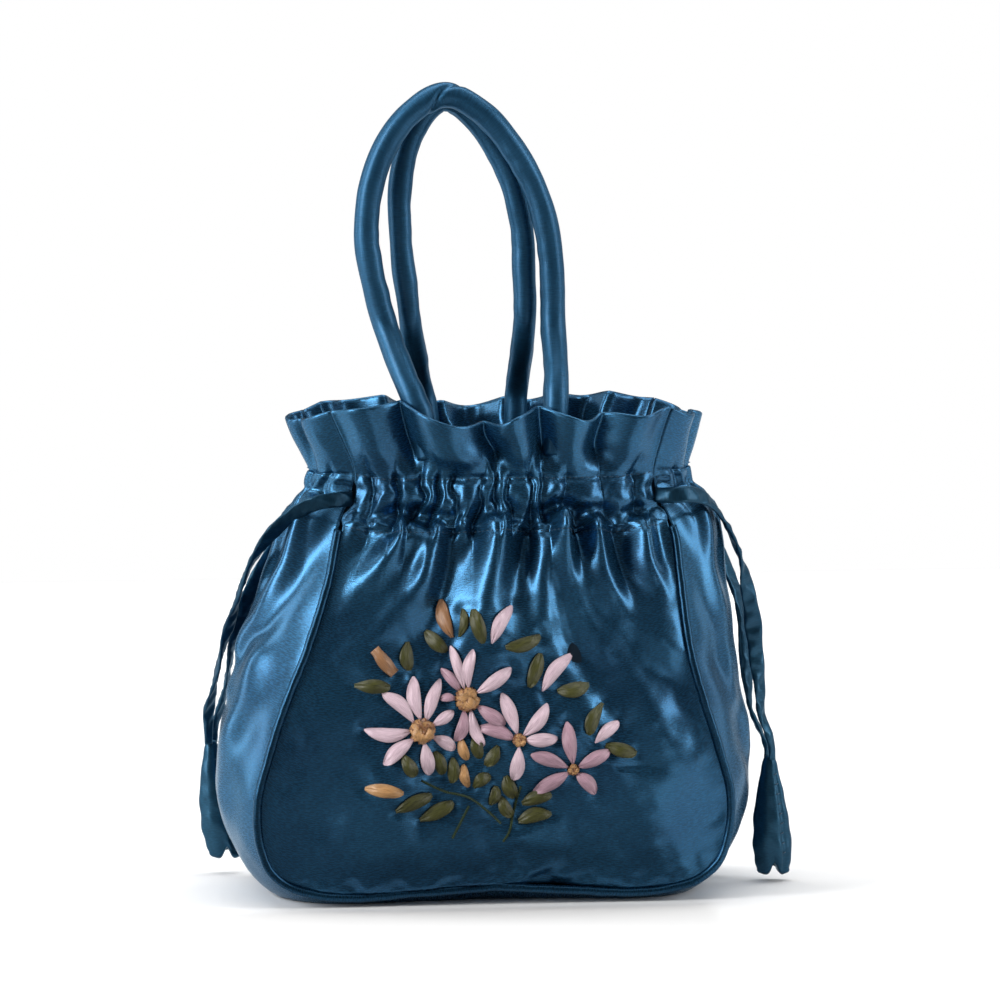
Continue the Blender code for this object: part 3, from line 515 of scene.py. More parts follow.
SATIN = satin_material("satin", (0.014, 0.076, 0.160), (0.021, 0.107, 0.210), 0.27, 0.79, 0.30)
PIPING_SATIN = satin_material("piping_satin", (0.006, 0.042, 0.090), (0.009, 0.056, 0.114), 0.28, 0.84, 0.22)
HANDLE_SATIN = satin_material(
    "handle_satin", (0.013, 0.068, 0.138), (0.020, 0.090, 0.178), 0.43, 0.80, 0.2, 0.5)
CORD_SATIN = satin_material("cord_satin", (0.008, 0.042, 0.080), (0.012, 0.060, 0.108), 0.36, 0.78, 0.2)
LINING = satin_material("lining", (0.003, 0.008, 0.016), (0.006, 0.016, 0.030), 0.60, 0.0, 0.0)
PINK = ribbon_material("pink_ribbon", (0.62, 0.43, 0.51), (0.92, 0.70, 0.78), 0.36)
MAUVE = ribbon_material("mauve_ribbon", (0.38, 0.21, 0.27), (0.60, 0.38, 0.46), 0.36)
OLIVE = ribbon_material("olive_ribbon", (0.016, 0.020, 0.004), (0.085, 0.086, 0.014), 0.40)
GOLD = ribbon_material("gold_ribbon", (0.34, 0.15, 0.05), (0.68, 0.38, 0.16), 0.34)
TAN = ribbon_material("tan_ribbon", (0.20, 0.09, 0.04), (0.42, 0.21, 0.095), 0.36)
# The knot's core: the gold ribbon's colour, darkened as painted shade for the crevices among its folds.
KNOT_PAINTED_SHADE = ribbon_material("knot_ribbon_painted_shade", (0.10, 0.035, 0.012), (0.34, 0.15, 0.06), 0.36)
GREEN_THREAD = thread_material("green_thread", (0.010, 0.022, 0.006), (0.045, 0.080, 0.022))
BLUE_THREAD = thread_material("blue_thread", (0.010, 0.030, 0.060), (0.030, 0.085, 0.150))


# Camera and drawcords


def aim(obj, target):
    obj.rotation_euler = (Vector(target) - obj.location).to_track_quat("-Z", "Y").to_euler()


def make_camera():
    azimuth, elevation = math.radians(CAMERA_AZIMUTH), math.radians(CAMERA_ELEVATION)
    back = Vector((
        math.sin(azimuth) * math.cos(elevation),
        -math.cos(azimuth) * math.cos(elevation),
        math.sin(elevation),
    ))
    data = bpy.data.cameras.new("camera")
    data.sensor_width = SENSOR
    data.lens = SENSOR * CAMERA_DISTANCE / FRAME_WIDTH
    data.clip_end = 20
    camera = bpy.data.objects.new("camera", data)
    camera.location = Vector(CAMERA_AIM) + CAMERA_DISTANCE * back
    aim(camera, CAMERA_AIM)
    bpy.context.scene.collection.objects.link(camera)
    bpy.context.scene.camera = camera


def make_piece(name, mesh, material_, slot_name, *nodes):
    """A mesh as a piece on the frame, with its material and the nodes it stands for hidden; slot_name is not
    used.
    """
    piece = bpy.data.objects.new(name, mesh)
    bpy.context.scene.collection.objects.link(piece)
    mesh.materials.append(material_)
    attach(piece, "root")
    if nodes:
        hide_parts(*nodes)
    return piece


def thicken(piece, thickness):
    """Gives a sheet its thickness, inward from the shape as drawn."""
    modifier = piece.modifiers.new("cloth", "SOLIDIFY")
    modifier.thickness = thickness
    modifier.offset = -1


def grid_mesh(name, points, uv, close_columns=False):
    """A sheet of quads from an array of points, rows by columns, with its UVs in the same layout."""
    rows, columns = points.shape[:2]
    index = np.arange(rows * columns).reshape(rows, columns)
    right = np.roll(index, -1, axis=1) if close_columns else index[:, 1:]
    left = index if close_columns else index[:, :-1]
    faces = np.stack([left[:-1], right[:-1], right[1:], left[1:]], -1).reshape(-1, 4)
    mesh = bpy.data.meshes.new(name)
    mesh.from_pydata(points.reshape(-1, 3).tolist(), [], faces.tolist())
    layer = mesh.uv_layers.new(name="UVMap")
    layer.data.foreach_set("uv", uv.reshape(-1, 2)[faces.ravel()].ravel())
    mesh.shade_smooth()
    return mesh


def mesh_from(name, bm):
    mesh = bpy.data.meshes.new(name)
    bm.to_mesh(mesh)
    bm.free()
    mesh.shade_smooth()
    return mesh


def close_ends(mesh):
    """Fills the open ends of a tube and turns its faces outward."""
    bm = bmesh.new()
    bm.from_mesh(mesh)
    bmesh.ops.holes_fill(bm, edges=[e for e in bm.edges if e.is_boundary])
    bmesh.ops.recalc_face_normals(bm, faces=bm.faces)
    bm.to_mesh(mesh)
    bm.free()
    mesh.shade_smooth()
    return mesh


def frames_along(points, up_hint):
    """Tangent, side and normal at each point of a route, with the normal kept near a hint."""
    tangent = np.gradient(points, axis=0)
    tangent /= np.linalg.norm(tangent, axis=1)[:, None]
    hint = np.broadcast_to(np.asarray(up_hint, float), points.shape)
    side = np.cross(tangent, hint)
    side /= np.linalg.norm(side, axis=1)[:, None]
    return tangent, side, np.cross(side, tangent)


def tube_mesh(name, points, side, normal, half_side, half_normal, around, squareness=1.0):
    """A closed tube along a route, with an oval section of its own at each point."""
    turn = turns_around(around)
    c, s = np.cos(turn), np.sin(turn)
    c = np.sign(c) * np.abs(c) ** squareness
    s = np.sign(s) * np.abs(s) ** squareness
    rings = (
        points[:, None, :]
        + (half_side * c)[:, :, None] * side[:, None, :]
        + (half_normal * s)[:, :, None] * normal[:, None, :]
    )
    along = chord_stations(points)
    uv = np.stack(np.broadcast_arrays(turn[None, :] * 0.003, along[:, None]), -1)
    return close_ends(grid_mesh(name, rings, uv, close_columns=True))


def make_strand(name, route, node, face_turns, width_shares, seed):
    """One free drawcord end: a flat satin tube that twists, narrows and kinks on its way down."""
    length = chord_stations(route)[-1]
    count, around = 140, 20
    points = even_points(route, count)
    s = np.linspace(0, 1, count)
    tangent, side, normal = frames_along(points, (0.25, -1.0, 0.15))
    turn = np.radians(read_table(face_turns, s))[:, None]
    flat = side * np.cos(turn) + normal * np.sin(turn)
    thin = np.cross(tangent, flat)
    wobble = noise_field(seed, 6, 0.010, 0.030)
    crumple = noise_field(seed + 1, 6, 0.004, 0.012)
    half_width = CORD_WIDTH / 2 * read_table(width_shares, s) * (1 + 0.07 * wobble(s * length, 0 * s))
    ripple = 1 + 0.30 * crumple((s * length)[:, None], 0.004 * np.cos(turns_around(around))[None, :])
    half_thin = CORD_THICKNESS / 2 * np.clip(ripple, 0.45, 1.7)
    mesh = tube_mesh(name, points, flat, thin, half_width[:, None], half_thin, around, 0.8)
    make_piece(name, mesh, CORD_SATIN, "cord_satin", node)


def add_stitch(bm, centres, radii, first, second):
    """One stitch: a thin closed tube through the centres, round in the plane of two directions."""
    rings = []
    for centre, radius in zip(centres, radii):
        ring = []
        for turn in turns_around(STITCH_SIDES):
            reach = radius * (math.cos(turn) * first + math.sin(turn) * second)
            ring.append(bm.verts.new(centre + reach))
        rings.append(ring)
    for lower, upper in zip(rings, rings[1:]):
        for j in range(STITCH_SIDES):
            k = (j + 1) % STITCH_SIDES
            bm.faces.new((lower[j], lower[k], upper[k], upper[j]))
    bm.faces.new(rings[0])
    bm.faces.new(list(reversed(rings[-1])))


def finish_stitches(name, bm, slot_name):
    bmesh.ops.recalc_face_normals(bm, faces=bm.faces)
    return make_piece(name, mesh_from(name, bm), BLUE_THREAD, slot_name)


def stitch_row(name, points, normals):
    """Small sewn stitches along a line on the cloth."""
    stations = chord_stations(points)
    bm = bmesh.new()
    at = STITCH_GAP
    while at + STITCH_LENGTH < stations[-1] - STITCH_GAP:
        here = smooth(stations, points, np.linspace(at, at + STITCH_LENGTH, 5))
        up = smooth(stations, normals, [at + STITCH_LENGTH / 2])[0]
        up = up / np.linalg.norm(up)
        way = here[-1] - here[0]
        way = way / np.linalg.norm(way)
        centres = [p + up * STITCH_RADIUS * rise for p, rise in zip(here, (-0.6, 0.3, 0.5, 0.3, -0.6))]
        radii = [STITCH_RADIUS * share for share in (0.35, 1.0, 1.05, 1.0, 0.35)]
        add_stitch(bm, centres, radii, np.cross(way, up), up)
        at += STITCH_LENGTH + STITCH_GAP
    finish_stitches(name, bm, "satin")


def make_tassel(name, node, top, tilt, seam_side):
    """A stuffed satin pod, narrow at the cord, with a notched foot; returns its seam line too."""
    rows, around = 60, 40
    down = np.linspace(0, 1, rows)
    turn = turns_around(around)
    full = read_table(TASSEL_SHAPE, down)
    seam_turn = math.radians(seam_side)
    apart = np.angle(np.exp(1j * (turn - seam_turn)))
    groove = 1 - 0.13 * np.exp(-((apart / 0.16) ** 2))
    bulge = 1 + 0.05 * np.exp(-(((np.abs(apart) - 0.45) / 0.25) ** 2))
    crumple = noise_field(31, 8, 0.006, 0.018)
    radius = full[:, None] * (groove * bulge)[None, :]
    radius = radius * (1 + 0.035 * crumple(turn[None, :] * 0.008, down[:, None] * TASSEL_LENGTH))
    x = TASSEL_HALF_WIDTH * radius * np.cos(turn)[None, :]
    y = TASSEL_HALF_DEPTH * radius * np.sin(turn)[None, :]
    notch = 0.10 * ramp(0.7, 1.0, down)[:, None] * np.exp(-((x / 0.0016) ** 2))
    z = TASSEL_CAP - (down[:, None] - notch) * (TASSEL_LENGTH + TASSEL_CAP)
    lean_x = tilt * (down[:, None] ** 1.6) * TASSEL_LENGTH
    points = np.stack([x + lean_x, y, np.broadcast_to(z, x.shape)], -1)
    points = points + np.asarray(top)
    uv = np.stack(np.broadcast_arrays(turn[None, :] * 0.007, down[:, None] * TASSEL_LENGTH), -1)
    mesh = close_ends(grid_mesh(name, points, uv, close_columns=True))
    tassel = make_piece(name, mesh, CORD_SATIN, "cord_satin", node)
    column = int(round(seam_turn / (2 * math.pi) * around)) % around
    line = points[4:-4, column]
    outward = line - points[4:-4].mean(axis=1)
    return tassel, line, outward / np.linalg.norm(outward, axis=1)[:, None]


def make_cross_stitches(name, line, outward):
    """The pod's hand sewing: short stitches across the seam."""
    stations = chord_stations(line)
    bm = bmesh.new()
    at = CROSS_STITCH_STEP
    while at < stations[-1] - CROSS_STITCH_STEP:
        p = smooth(stations, line, [at])[0]
        up = smooth(stations, outward, [at])[0]
        up /= np.linalg.norm(up)
        way = smooth(stations, line, [at + 0.001])[0] - p
        way /= np.linalg.norm(way)
        side = np.cross(way, up)
        centres = []
        for t in (-1, -0.5, 0, 0.5, 1):
            rise = up * (0.0005 - 0.0004 * t * t)
            centres.append(p + side * CROSS_STITCH_HALF * t + rise + way * 0.0002 * t)
        radii = [CROSS_STITCH_RADIUS * share for share in (0.4, 1.0, 1.0, 1.0, 0.4)]
        add_stitch(bm, centres, radii, way, up)
        at += CROSS_STITCH_STEP
    return finish_stitches(name, bm, "cord_satin")


def make_cords():
    for side_name, top, tilt, seam in (
        ("left", LEFT_TASSEL_TOP, 0.13, 300),
        ("right", RIGHT_TASSEL_TOP, 0.04, 305),
    ):
        node = f"tassel_{side_name}"
        pod, line, outward = make_tassel(f"pod_{side_name}", node, top, tilt, seam)
        stitches = make_cross_stitches(f"pod_{side_name}_stitches", line, outward)
        stitches.parent = pod
    # Along each strand, by share of its length: turns of its flat side in degrees, shares of its width
    strands = (
        ("left_front", CORD_LEFT_FRONT, "pod_left",
         ((0, 10), (0.15, 20), (0.35, 40), (0.5, 75), (0.62, 20), (0.75, 80), (0.9, 20), (1, 0)),
         ((0, 0.9), (0.1, 1.0), (0.3, 1.0), (0.5, 0.85), (0.7, 0.75), (0.9, 0.85), (1, 0.5)), 5),
        ("left_back", CORD_LEFT_BACK, "pod_left",
         ((0, 0), (0.3, 30), (0.55, 15), (0.75, 60), (1, 20)),
         ((0, 0.9), (0.3, 1.0), (0.6, 0.95), (0.9, 0.7), (1, 0.5)), 9),
        ("right_front", CORD_RIGHT_FRONT, "pod_right",
         ((0, 0), (0.12, 15), (0.28, 72), (0.38, 80), (0.5, 10), (0.7, 0), (0.85, 35), (1, 20)),
         ((0, 0.9), (0.1, 1.0), (0.3, 0.8), (0.5, 1.0), (0.7, 1.0), (0.9, 0.7), (1, 0.5)), 13),
        ("right_back", CORD_RIGHT_BACK, "pod_right",
         ((0, 0), (0.3, 20), (0.5, 35), (0.7, 10), (0.9, 70), (1, 40)),
         ((0, 0.9), (0.3, 1.0), (0.6, 1.0), (0.85, 0.8), (1, 0.5)), 17),
    )
    for name, route, tassel, turns, widths, seed in strands:
        make_strand(f"strand_{name}", route, f"drawcord_{name}", turns, widths, seed)


# Outer satin


def side_level_rows(body, channel, frill):
    return np.concatenate([
        CORNER_LEVEL + (1 - CORNER_LEVEL) * np.arange(body) / body,
        1 + np.arange(channel) / channel,
        2 + np.arange(frill + 1) / frill,
    ])


def panel_base(levels, us):
    """The panel without its folds: x, y (depth in front of the middle) and z, rows by columns."""
    corner_x, _, _, corner_out = edge_at(CORNER_STATION)
    clear = seam_clearance(CORNER_LEVEL)
    corner_x = corner_x[0] - corner_out[0, 0] * clear
    corner_z = height_at(CORNER_LEVEL) - corner_out[0, 1] * clear
    sx, _, _, out = edge_at(station_of_level(levels))
    clear = seam_clearance(levels)
    side_x = (sx - out[:, 0] * clear)[:, None]
    side_z = (height_at(levels) - out[:, 1] * clear)[:, None]
    size = np.abs(us)
    bx, bottom_level, _, bottom_out = edge_at(size * CORNER_STATION)
    clear = seam_clearance(bottom_level)
    bottom_x = (bx - bottom_out[:, 0] * clear)[None, :]
    bottom_z = (height_at(bottom_level) - bottom_out[:, 1] * clear)[None, :]
    low = (RIM_HEIGHT - side_z) / (RIM_HEIGHT - corner_z)
    x = size[None, :] * side_x + low * (bottom_x - size[None, :] * corner_x)
    z = side_z + low * (bottom_z - corner_z)
    true_level = level_of_height(z)
    seam, middle = depths(true_level)
    open_up = ramp(-0.05, 0.12, levels - CORNER_LEVEL)[:, None]
    y = seam + (middle - seam) * (1 - us**2)[None, :] * open_up
    return np.sign(us)[None, :] * x + lean(true_level), y, z


def panel_relief(x, z, levels, us, gathers, frill, folds, pins, seed):
    """Outward height of the gathers, frill, long folds, seam puckers and small creases, in metres."""
    lv = levels[:, None]
    u = us[None, :]
    edge = 1 - np.abs(u) ** 9
    bed = noise_field(seed, 7, 0.25, 0.9)
    drift = 0.014 * bed(u * 4.0, lv * 0.9) * ramp(0.7, 1.0, lv)
    gather, reach = gather_lobes(u + drift, lv, gathers, seed)
    body_share = np.exp(-(1 - np.minimum(lv, 1.0)) / reach)
    frill_share = np.exp(-np.maximum(lv - 2.0, 0) / (3.0 * reach + 0.10))
    total = gather * body_share * frill_share
    total = total + CASING_PUFF * np.sin(math.pi * np.clip(lv - 1, 0, 1))
    sway = 0.020 * bed(lv * 0.4, u * 0.4)
    wave = round_lobes(u + sway, frill)
    total = total + FRILL_WAVE * (wave - 0.62) * ramp(1.97, 2.45, lv)
    z_here = height_at(levels)[:, None]
    for row in (1.0, 2.0):
        total = total - STITCH_DIP * np.exp(-(((z_here - height_at(row)) / STITCH_DIP_REACH) ** 2))
    for points, half_width, height in folds:
        route = even_points(points, CREST_POINTS)
        gap, along = nearest_on_route(x[..., None] - route[:, 0], z[..., None] - route[:, 1])
        wide = half_width * (0.70 + 0.8 * along)
        side = 0.45 * np.exp(-(((gap - 2.0 * wide) / (0.9 * wide)) ** 2))
        profile = np.exp(-((gap / wide) ** 2)) - side
        total = total + FOLD_GAIN * height * profile * (1 - 0.7 * along**1.6)
    swell = noise_field(seed + 7, 9, 0.045, 0.100)
    crumple = noise_field(seed + 1, 16, 0.018, 0.060)
    fine = noise_field(seed + 2, 14, 0.006, 0.016)
    below = 1 - ramp(0.8, 1.0, lv)
    total = total + SWELL * swell(x, z) * below * (1 - u**4)
    total = total + CRUMPLE * crumple(x, z) * (0.30 + 0.70 * below) + FINE_CREASE * fine(x, z) * below
    inset = np.minimum((1 - np.abs(u)) * np.abs(x[:, -1:]), z - z[:1, :] + 0.0005) / SEAM_PUCKER_REACH
    pucker = noise_field(seed + 3, 10, 0.006, 0.017)
    total = total + SEAM_PUCKER * pucker(x, z) * inset * np.exp(1 - inset) * below
    for px, pz, depth in pins:
        total = total - depth * np.exp(-((x - px) ** 2 + (z - pz) ** 2) / PIN_REACH**2)
    return total * edge


def sheet_normals(points):
    across = np.gradient(points, axis=1)
    along = np.gradient(points, axis=0)
    normal = np.cross(across, along)
    return normal / np.linalg.norm(normal, axis=2)[:, :, None]


def with_hem(points, normals, hem_rows):
    """Folds the cloth over at its last row and brings it back down inside, as the frill's facing."""
    top = points[-1]
    up = points[-1] - points[-2]
    up /= np.linalg.norm(up, axis=1)[:, None]
    inward = -normals[-1]
    rows = [points]
    for angle in (40, 90, 140):
        a = math.radians(angle)
        rows.append((top + inward * HEM * (1 - math.cos(a)) + up * HEM * math.sin(a))[None])
    rows.append((points - normals * 2 * HEM)[::-1][1:hem_rows])
    return np.concatenate(rows, axis=0)


def make_panel(name, node, back, gathers, frill, rim, folds, pins, size, seed):
    """A gathered panel, embroidered front or plain back; returns its rows of points for the stitches."""
    columns, body, channel, frill_rows = size
    levels = side_level_rows(body, channel, frill_rows)
    us = np.linspace(-1, 1, columns + 1)
    x, y, z = panel_base(levels, us)
    height = panel_relief(x, z, levels, us, gathers, frill, folds, pins, seed)
    base = np.stack([x, -y, z], -1)
    normals = sheet_normals(base)
    normals *= -np.sign(normals[..., 1].mean())
    points = base + normals * height[..., None]
    points[..., 2] += RIM_DRIFT * ramp(2.05, 3.0, levels)[:, None] * read_table(rim, us)[None, :]
    flat = np.stack(np.broadcast_arrays(us[None, :] * PANEL_HALF, height_at(levels)[:, None]), -1)
    normals = sheet_normals(points)
    full = with_hem(points, normals, frill_rows)
    extra = len(full) - len(points)
    climb = flat[-1:, :, 1:] + 0.001 * np.arange(1, extra + 1)[:, None, None]
    hem_uv = np.concatenate([np.broadcast_to(flat[-1:, :, :1], climb.shape), climb], -1)
    uv = np.concatenate([flat, hem_uv], 0)
    if back:
        mirror = np.array([1, -1, 1])
        full, points, normals = full * mirror, points * mirror, normals * mirror
    mesh = grid_mesh(name, full, uv)
    if back:
        mesh.flip_normals()
    panel = make_piece(name, mesh, SATIN, "satin", node)
    thicken(panel, CLOTH)
    return panel, points, normals, levels


def strip_base(stations, across):
    """The side strip without its folds, rows along the U by columns from front to back."""
    side = np.where(stations >= 0, 1.0, -1.0)
    x, level, puff, out = edge_at(np.abs(stations))
    seam, _ = depths(level)
    half = seam - seam_clearance(level)
    swell = puff[:, None] * (1 - across**2)[None, :]
    px = side[:, None] * (x[:, None] + out[:, :1] * swell) + lean(level)[:, None]
    pz = np.maximum(0.0, height_at(level)[:, None] + out[:, 1:] * swell)
    py = half[:, None] * across[None, :]
    return np.stack([px, py, pz], -1), level, side


# Folds of a side strip: side, points (across, level) along the crest, half-width in metres, height
STRIP_FOLDS = (
    (-1, ((-0.55, 0.99), (-0.45, 0.88), (-0.30, 0.76), (-0.05, 0.62)), 0.0050, 0.0044),
    (-1, ((0.05, 0.97), (0.10, 0.84), (0.05, 0.70), (-0.10, 0.52)), 0.0055, 0.0034),
    (-1, ((-0.50, 0.60), (-0.35, 0.42), (-0.30, 0.25)), 0.0080, 0.0020),
    (-1, ((0.50, 0.98), (0.42, 0.80), (0.30, 0.60)), 0.0050, 0.0024),
    (1, ((-0.55, 0.99), (-0.50, 0.85), (-0.42, 0.68), (-0.45, 0.50)), 0.0050, 0.0036),
    (1, ((-0.10, 0.98), (-0.12, 0.82), (-0.18, 0.62), (-0.25, 0.36)), 0.0060, 0.0038),
    (1, ((0.45, 0.98), (0.40, 0.80), (0.30, 0.55)), 0.0050, 0.0024),
)


def make_gusset():
    """The U-shaped side strip, with the frill's facing at both of its ends."""
    body, channel, frill_rows, bottom = 90, 20, 26, 60
    columns = 56
    side_levels = side_level_rows(body, channel, frill_rows)
    side_stations = station_of_level(side_levels)
    low = CORNER_STATION * np.arange(bottom // 2) / (bottom / 2)
    right = np.concatenate([low, side_stations])
    stations = np.concatenate([-right[:0:-1], right])
    across = np.linspace(-1, 1, columns + 1)
    base, level, side = strip_base(stations, across)
    # Row level grows up the sides and stays under the corner's level along the bottom
    on_side = np.abs(stations) >= CORNER_STATION
    lv = np.where(on_side, level, CORNER_LEVEL)[:, None]
    a = across[None, :]
    height = np.zeros(base.shape[:2])
    wander = noise_field(71, 6, 0.4, 1.1)
    pleat, _ = lobes(a + 0.05 * wander(a * 2, lv), SIDE_GATHERS, 0.9)
    body_share = np.exp(-(1 - np.minimum(lv, 1.0)) / 0.06)
    frill_share = np.exp(-np.maximum(lv - 2, 0) / 0.22)
    height += STRIP_GATHER * (pleat - 0.35) * body_share * frill_share
    height += STRIP_FRILL_WAVE * (round_lobes(a, SIDE_FRILL) - 0.5) * ramp(1.95, 2.8, lv)
    z_here = height_at(lv)
    for row in (1.0, 2.0):
        height -= STRIP_STITCH_DIP * np.exp(-(((z_here - height_at(row)) / STRIP_DIP_REACH) ** 2))
    strip_width = 2 * depths(np.clip(level, 0, 3))[0][:, None]
    for fold_side, points, half_width, crest in STRIP_FOLDS:
        route = even_points(points, STRIP_CREST_POINTS)
        da = (a[..., None] - route[:, 0]) * strip_width[..., None] / 2
        dz = (height_at(lv)[..., None] - height_at(route[:, 1])) * np.ones_like(da)
        gap, along = nearest_on_route(da, dz)
        side_dip = 0.40 * np.exp(-(((gap - 1.9 * half_width) / half_width) ** 2))
        profile = np.exp(-((gap / half_width) ** 2)) - side_dip
        height += crest * profile * (1 - 0.6 * along) * ((side == fold_side) & on_side)[:, None]
    crumple = noise_field(72, 14, 0.016, 0.050)
    height += STRIP_CRUMPLE * crumple(base[..., 1] + 0.3 * side[:, None], base[..., 2]) * on_side[:, None]
    height *= 1 - np.abs(a) ** 7
    normals = sheet_normals(base)
    middle = np.array([0, 0, BODY_HEIGHT / 2])
    normals *= np.sign(np.sum(normals * (base - middle), -1).mean())
    points = base + normals * height[..., None]
    points[..., 2] = np.maximum(points[..., 2], 0.0)
    bend = 0.5 + 0.6 * np.cos(5 * a + side[:, None])
    points[..., 2] += STRIP_RIM_RISE * ramp(2.1, 3.0, lv) * (1 - a**2) * bend
    normals = sheet_normals(points)
    normals *= np.sign(np.sum(normals * (points - middle), -1).mean())
    left_end = with_hem(points[::-1], normals[::-1], frill_rows)[len(points):][::-1]
    right_end = with_hem(points, normals, frill_rows)[len(points):]
    full = np.concatenate([left_end, points, right_end], 0)
    run = chord_stations(full[:, columns // 2])
    uv = np.stack(np.broadcast_arrays(across[None, :] * HALF_DEPTH, run[:, None]), -1)
    mesh = grid_mesh("side_strip", full, uv)
    probe = mesh.polygons[len(mesh.polygons) // 2]
    if probe.normal.dot(probe.center - Vector(middle)) < 0:
        mesh.flip_normals()
    strip = make_piece("side_strip", mesh, SATIN, "satin", "gusset")
    thicken(strip, CLOTH)


def make_piping(name, node, back):
    """A satin-covered cord round the sewn edge of a panel."""
    count, around = 360, 14
    top = float(station_of_level(0.985))
    stations = np.linspace(-top, top, count)
    x, level, _, _ = edge_at(np.abs(stations))
    seam, _ = depths(level)
    px = np.copysign(x, stations) + lean(level)
    points = np.stack([px, seam if back else -seam, height_at(level)], -1)
    _, side, normal = frames_along(points, (0, 1 if back else -1, 0))
    pucker = noise_field(41, 8, 0.004, 0.014)
    ripple = pucker(chord_stations(points)[:, None], 0.003 * np.cos(turns_around(around))[None, :])
    swell = PIPING_RADIUS * (1 + 0.045 * ripple)
    mesh = tube_mesh(name, points, side, normal, swell, swell, around)
    make_piece(name, mesh, PIPING_SATIN, "satin", node)


# Handles


def make_handle(name, node, route, diameter, back, seed):
    """A stuffed loop, seated on its panel inside the mouth and upright above it."""
    way = 1 if back else -1
    radius = diameter / 2
    count, around = 300, 36
    low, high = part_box(node)
    flat = even_points(route, count)
    lifted = ramp(0.0, 0.040, flat[:, 1])
    seat = (high[1] - radius) if back else -(low[1] + radius)
    y = way * (seat * (1 - lifted) + radius * lifted)
    points = np.stack([flat[:, 0], y, RIM_HEIGHT + flat[:, 1]], -1)
    # Its last few rings reach further down than the route, to where it is sewn
    from_end = np.minimum(np.arange(count), np.arange(count)[::-1])
    points[:, 2] -= HANDLE_TUCK * (1 - np.clip(from_end / (HANDLE_TUCK_RINGS - 1), 0, 1))
    _, side, normal = frames_along(points, (0, way, 0))
    run = chord_stations(points)
    turn = turns_around(around)
    slack = noise_field(seed, 10, 0.014, 0.045)
    crease = noise_field(seed + 1, 12, 0.006, 0.015)
    wrap = radius * turn[None, :]
    lumps = 1 + 0.045 * slack(run[:, None], wrap)
    inner = np.clip(np.cos(turn)[None, :] * np.sign(np.mean(-side[:, 0] * points[:, 0])), 0, 1)
    squeeze = 1 + 0.018 * crease(run[:, None], wrap * 0.3) * (0.2 + inner)
    # A crease winds across the tube where it bends over at the top
    crest = run[np.argmax(points[:, 2])] - 0.004
    crossing = math.pi / 2 + np.clip((run - crest) / 0.010, -1.0, 1.0) * 1.9
    winding = np.angle(np.exp(1j * (turn[None, :] - crossing[:, None])))
    near = np.exp(-(((run - crest) / 0.012) ** 2))[:, None]
    pinch = 1 - 0.26 * near * np.exp(-((winding / 0.30) ** 2))
    swell = radius * lumps * squeeze * pinch
    mesh = tube_mesh(name, points, side, normal, swell, swell, around)
    make_piece(name, mesh, HANDLE_SATIN, "satin", node)


# Embroidery

# A loop of ribbon, in metres but for the dome, which is a share of its width
RIBBON_WIDTH = 0.007
RIBBON_LIFT = 0.0004
RIBBON_DOME = 0.19
RIBBON_CURL = 0.0013
RIBBON_TILT = 0.0012
RIBBON_CREASE = 0.00045
RIBBON_RIPPLE = 0.00010
LOW_ARCH = 0.0006
PETAL_ARCH = 0.0008
# A knot's depth and how far it rises, as shares of its radius
KNOT_DEPTH = 0.62
KNOT_RISE = 0.22


class Cloth:
    """The finished front panel, on which the embroidery lies."""

    def __init__(self, panel):
        mesh = panel.data
        self.tree = BVHTree.FromPolygons([v.co for v in mesh.vertices], [p.vertices for p in mesh.polygons])

    def at(self, x, z, lift=0.0):
        hit, normal, _, _ = self.tree.ray_cast(Vector((x, -0.2, z)), Vector((0, 1, 0)))
        if normal.y > 0:
            normal = -normal
        return hit + Vector((0, -1, 0)) * lift, normal


def polar(middle, degrees, reach):
    a = math.radians(degrees)
    return (middle[0] + reach * math.cos(a), middle[1] + reach * math.sin(a))


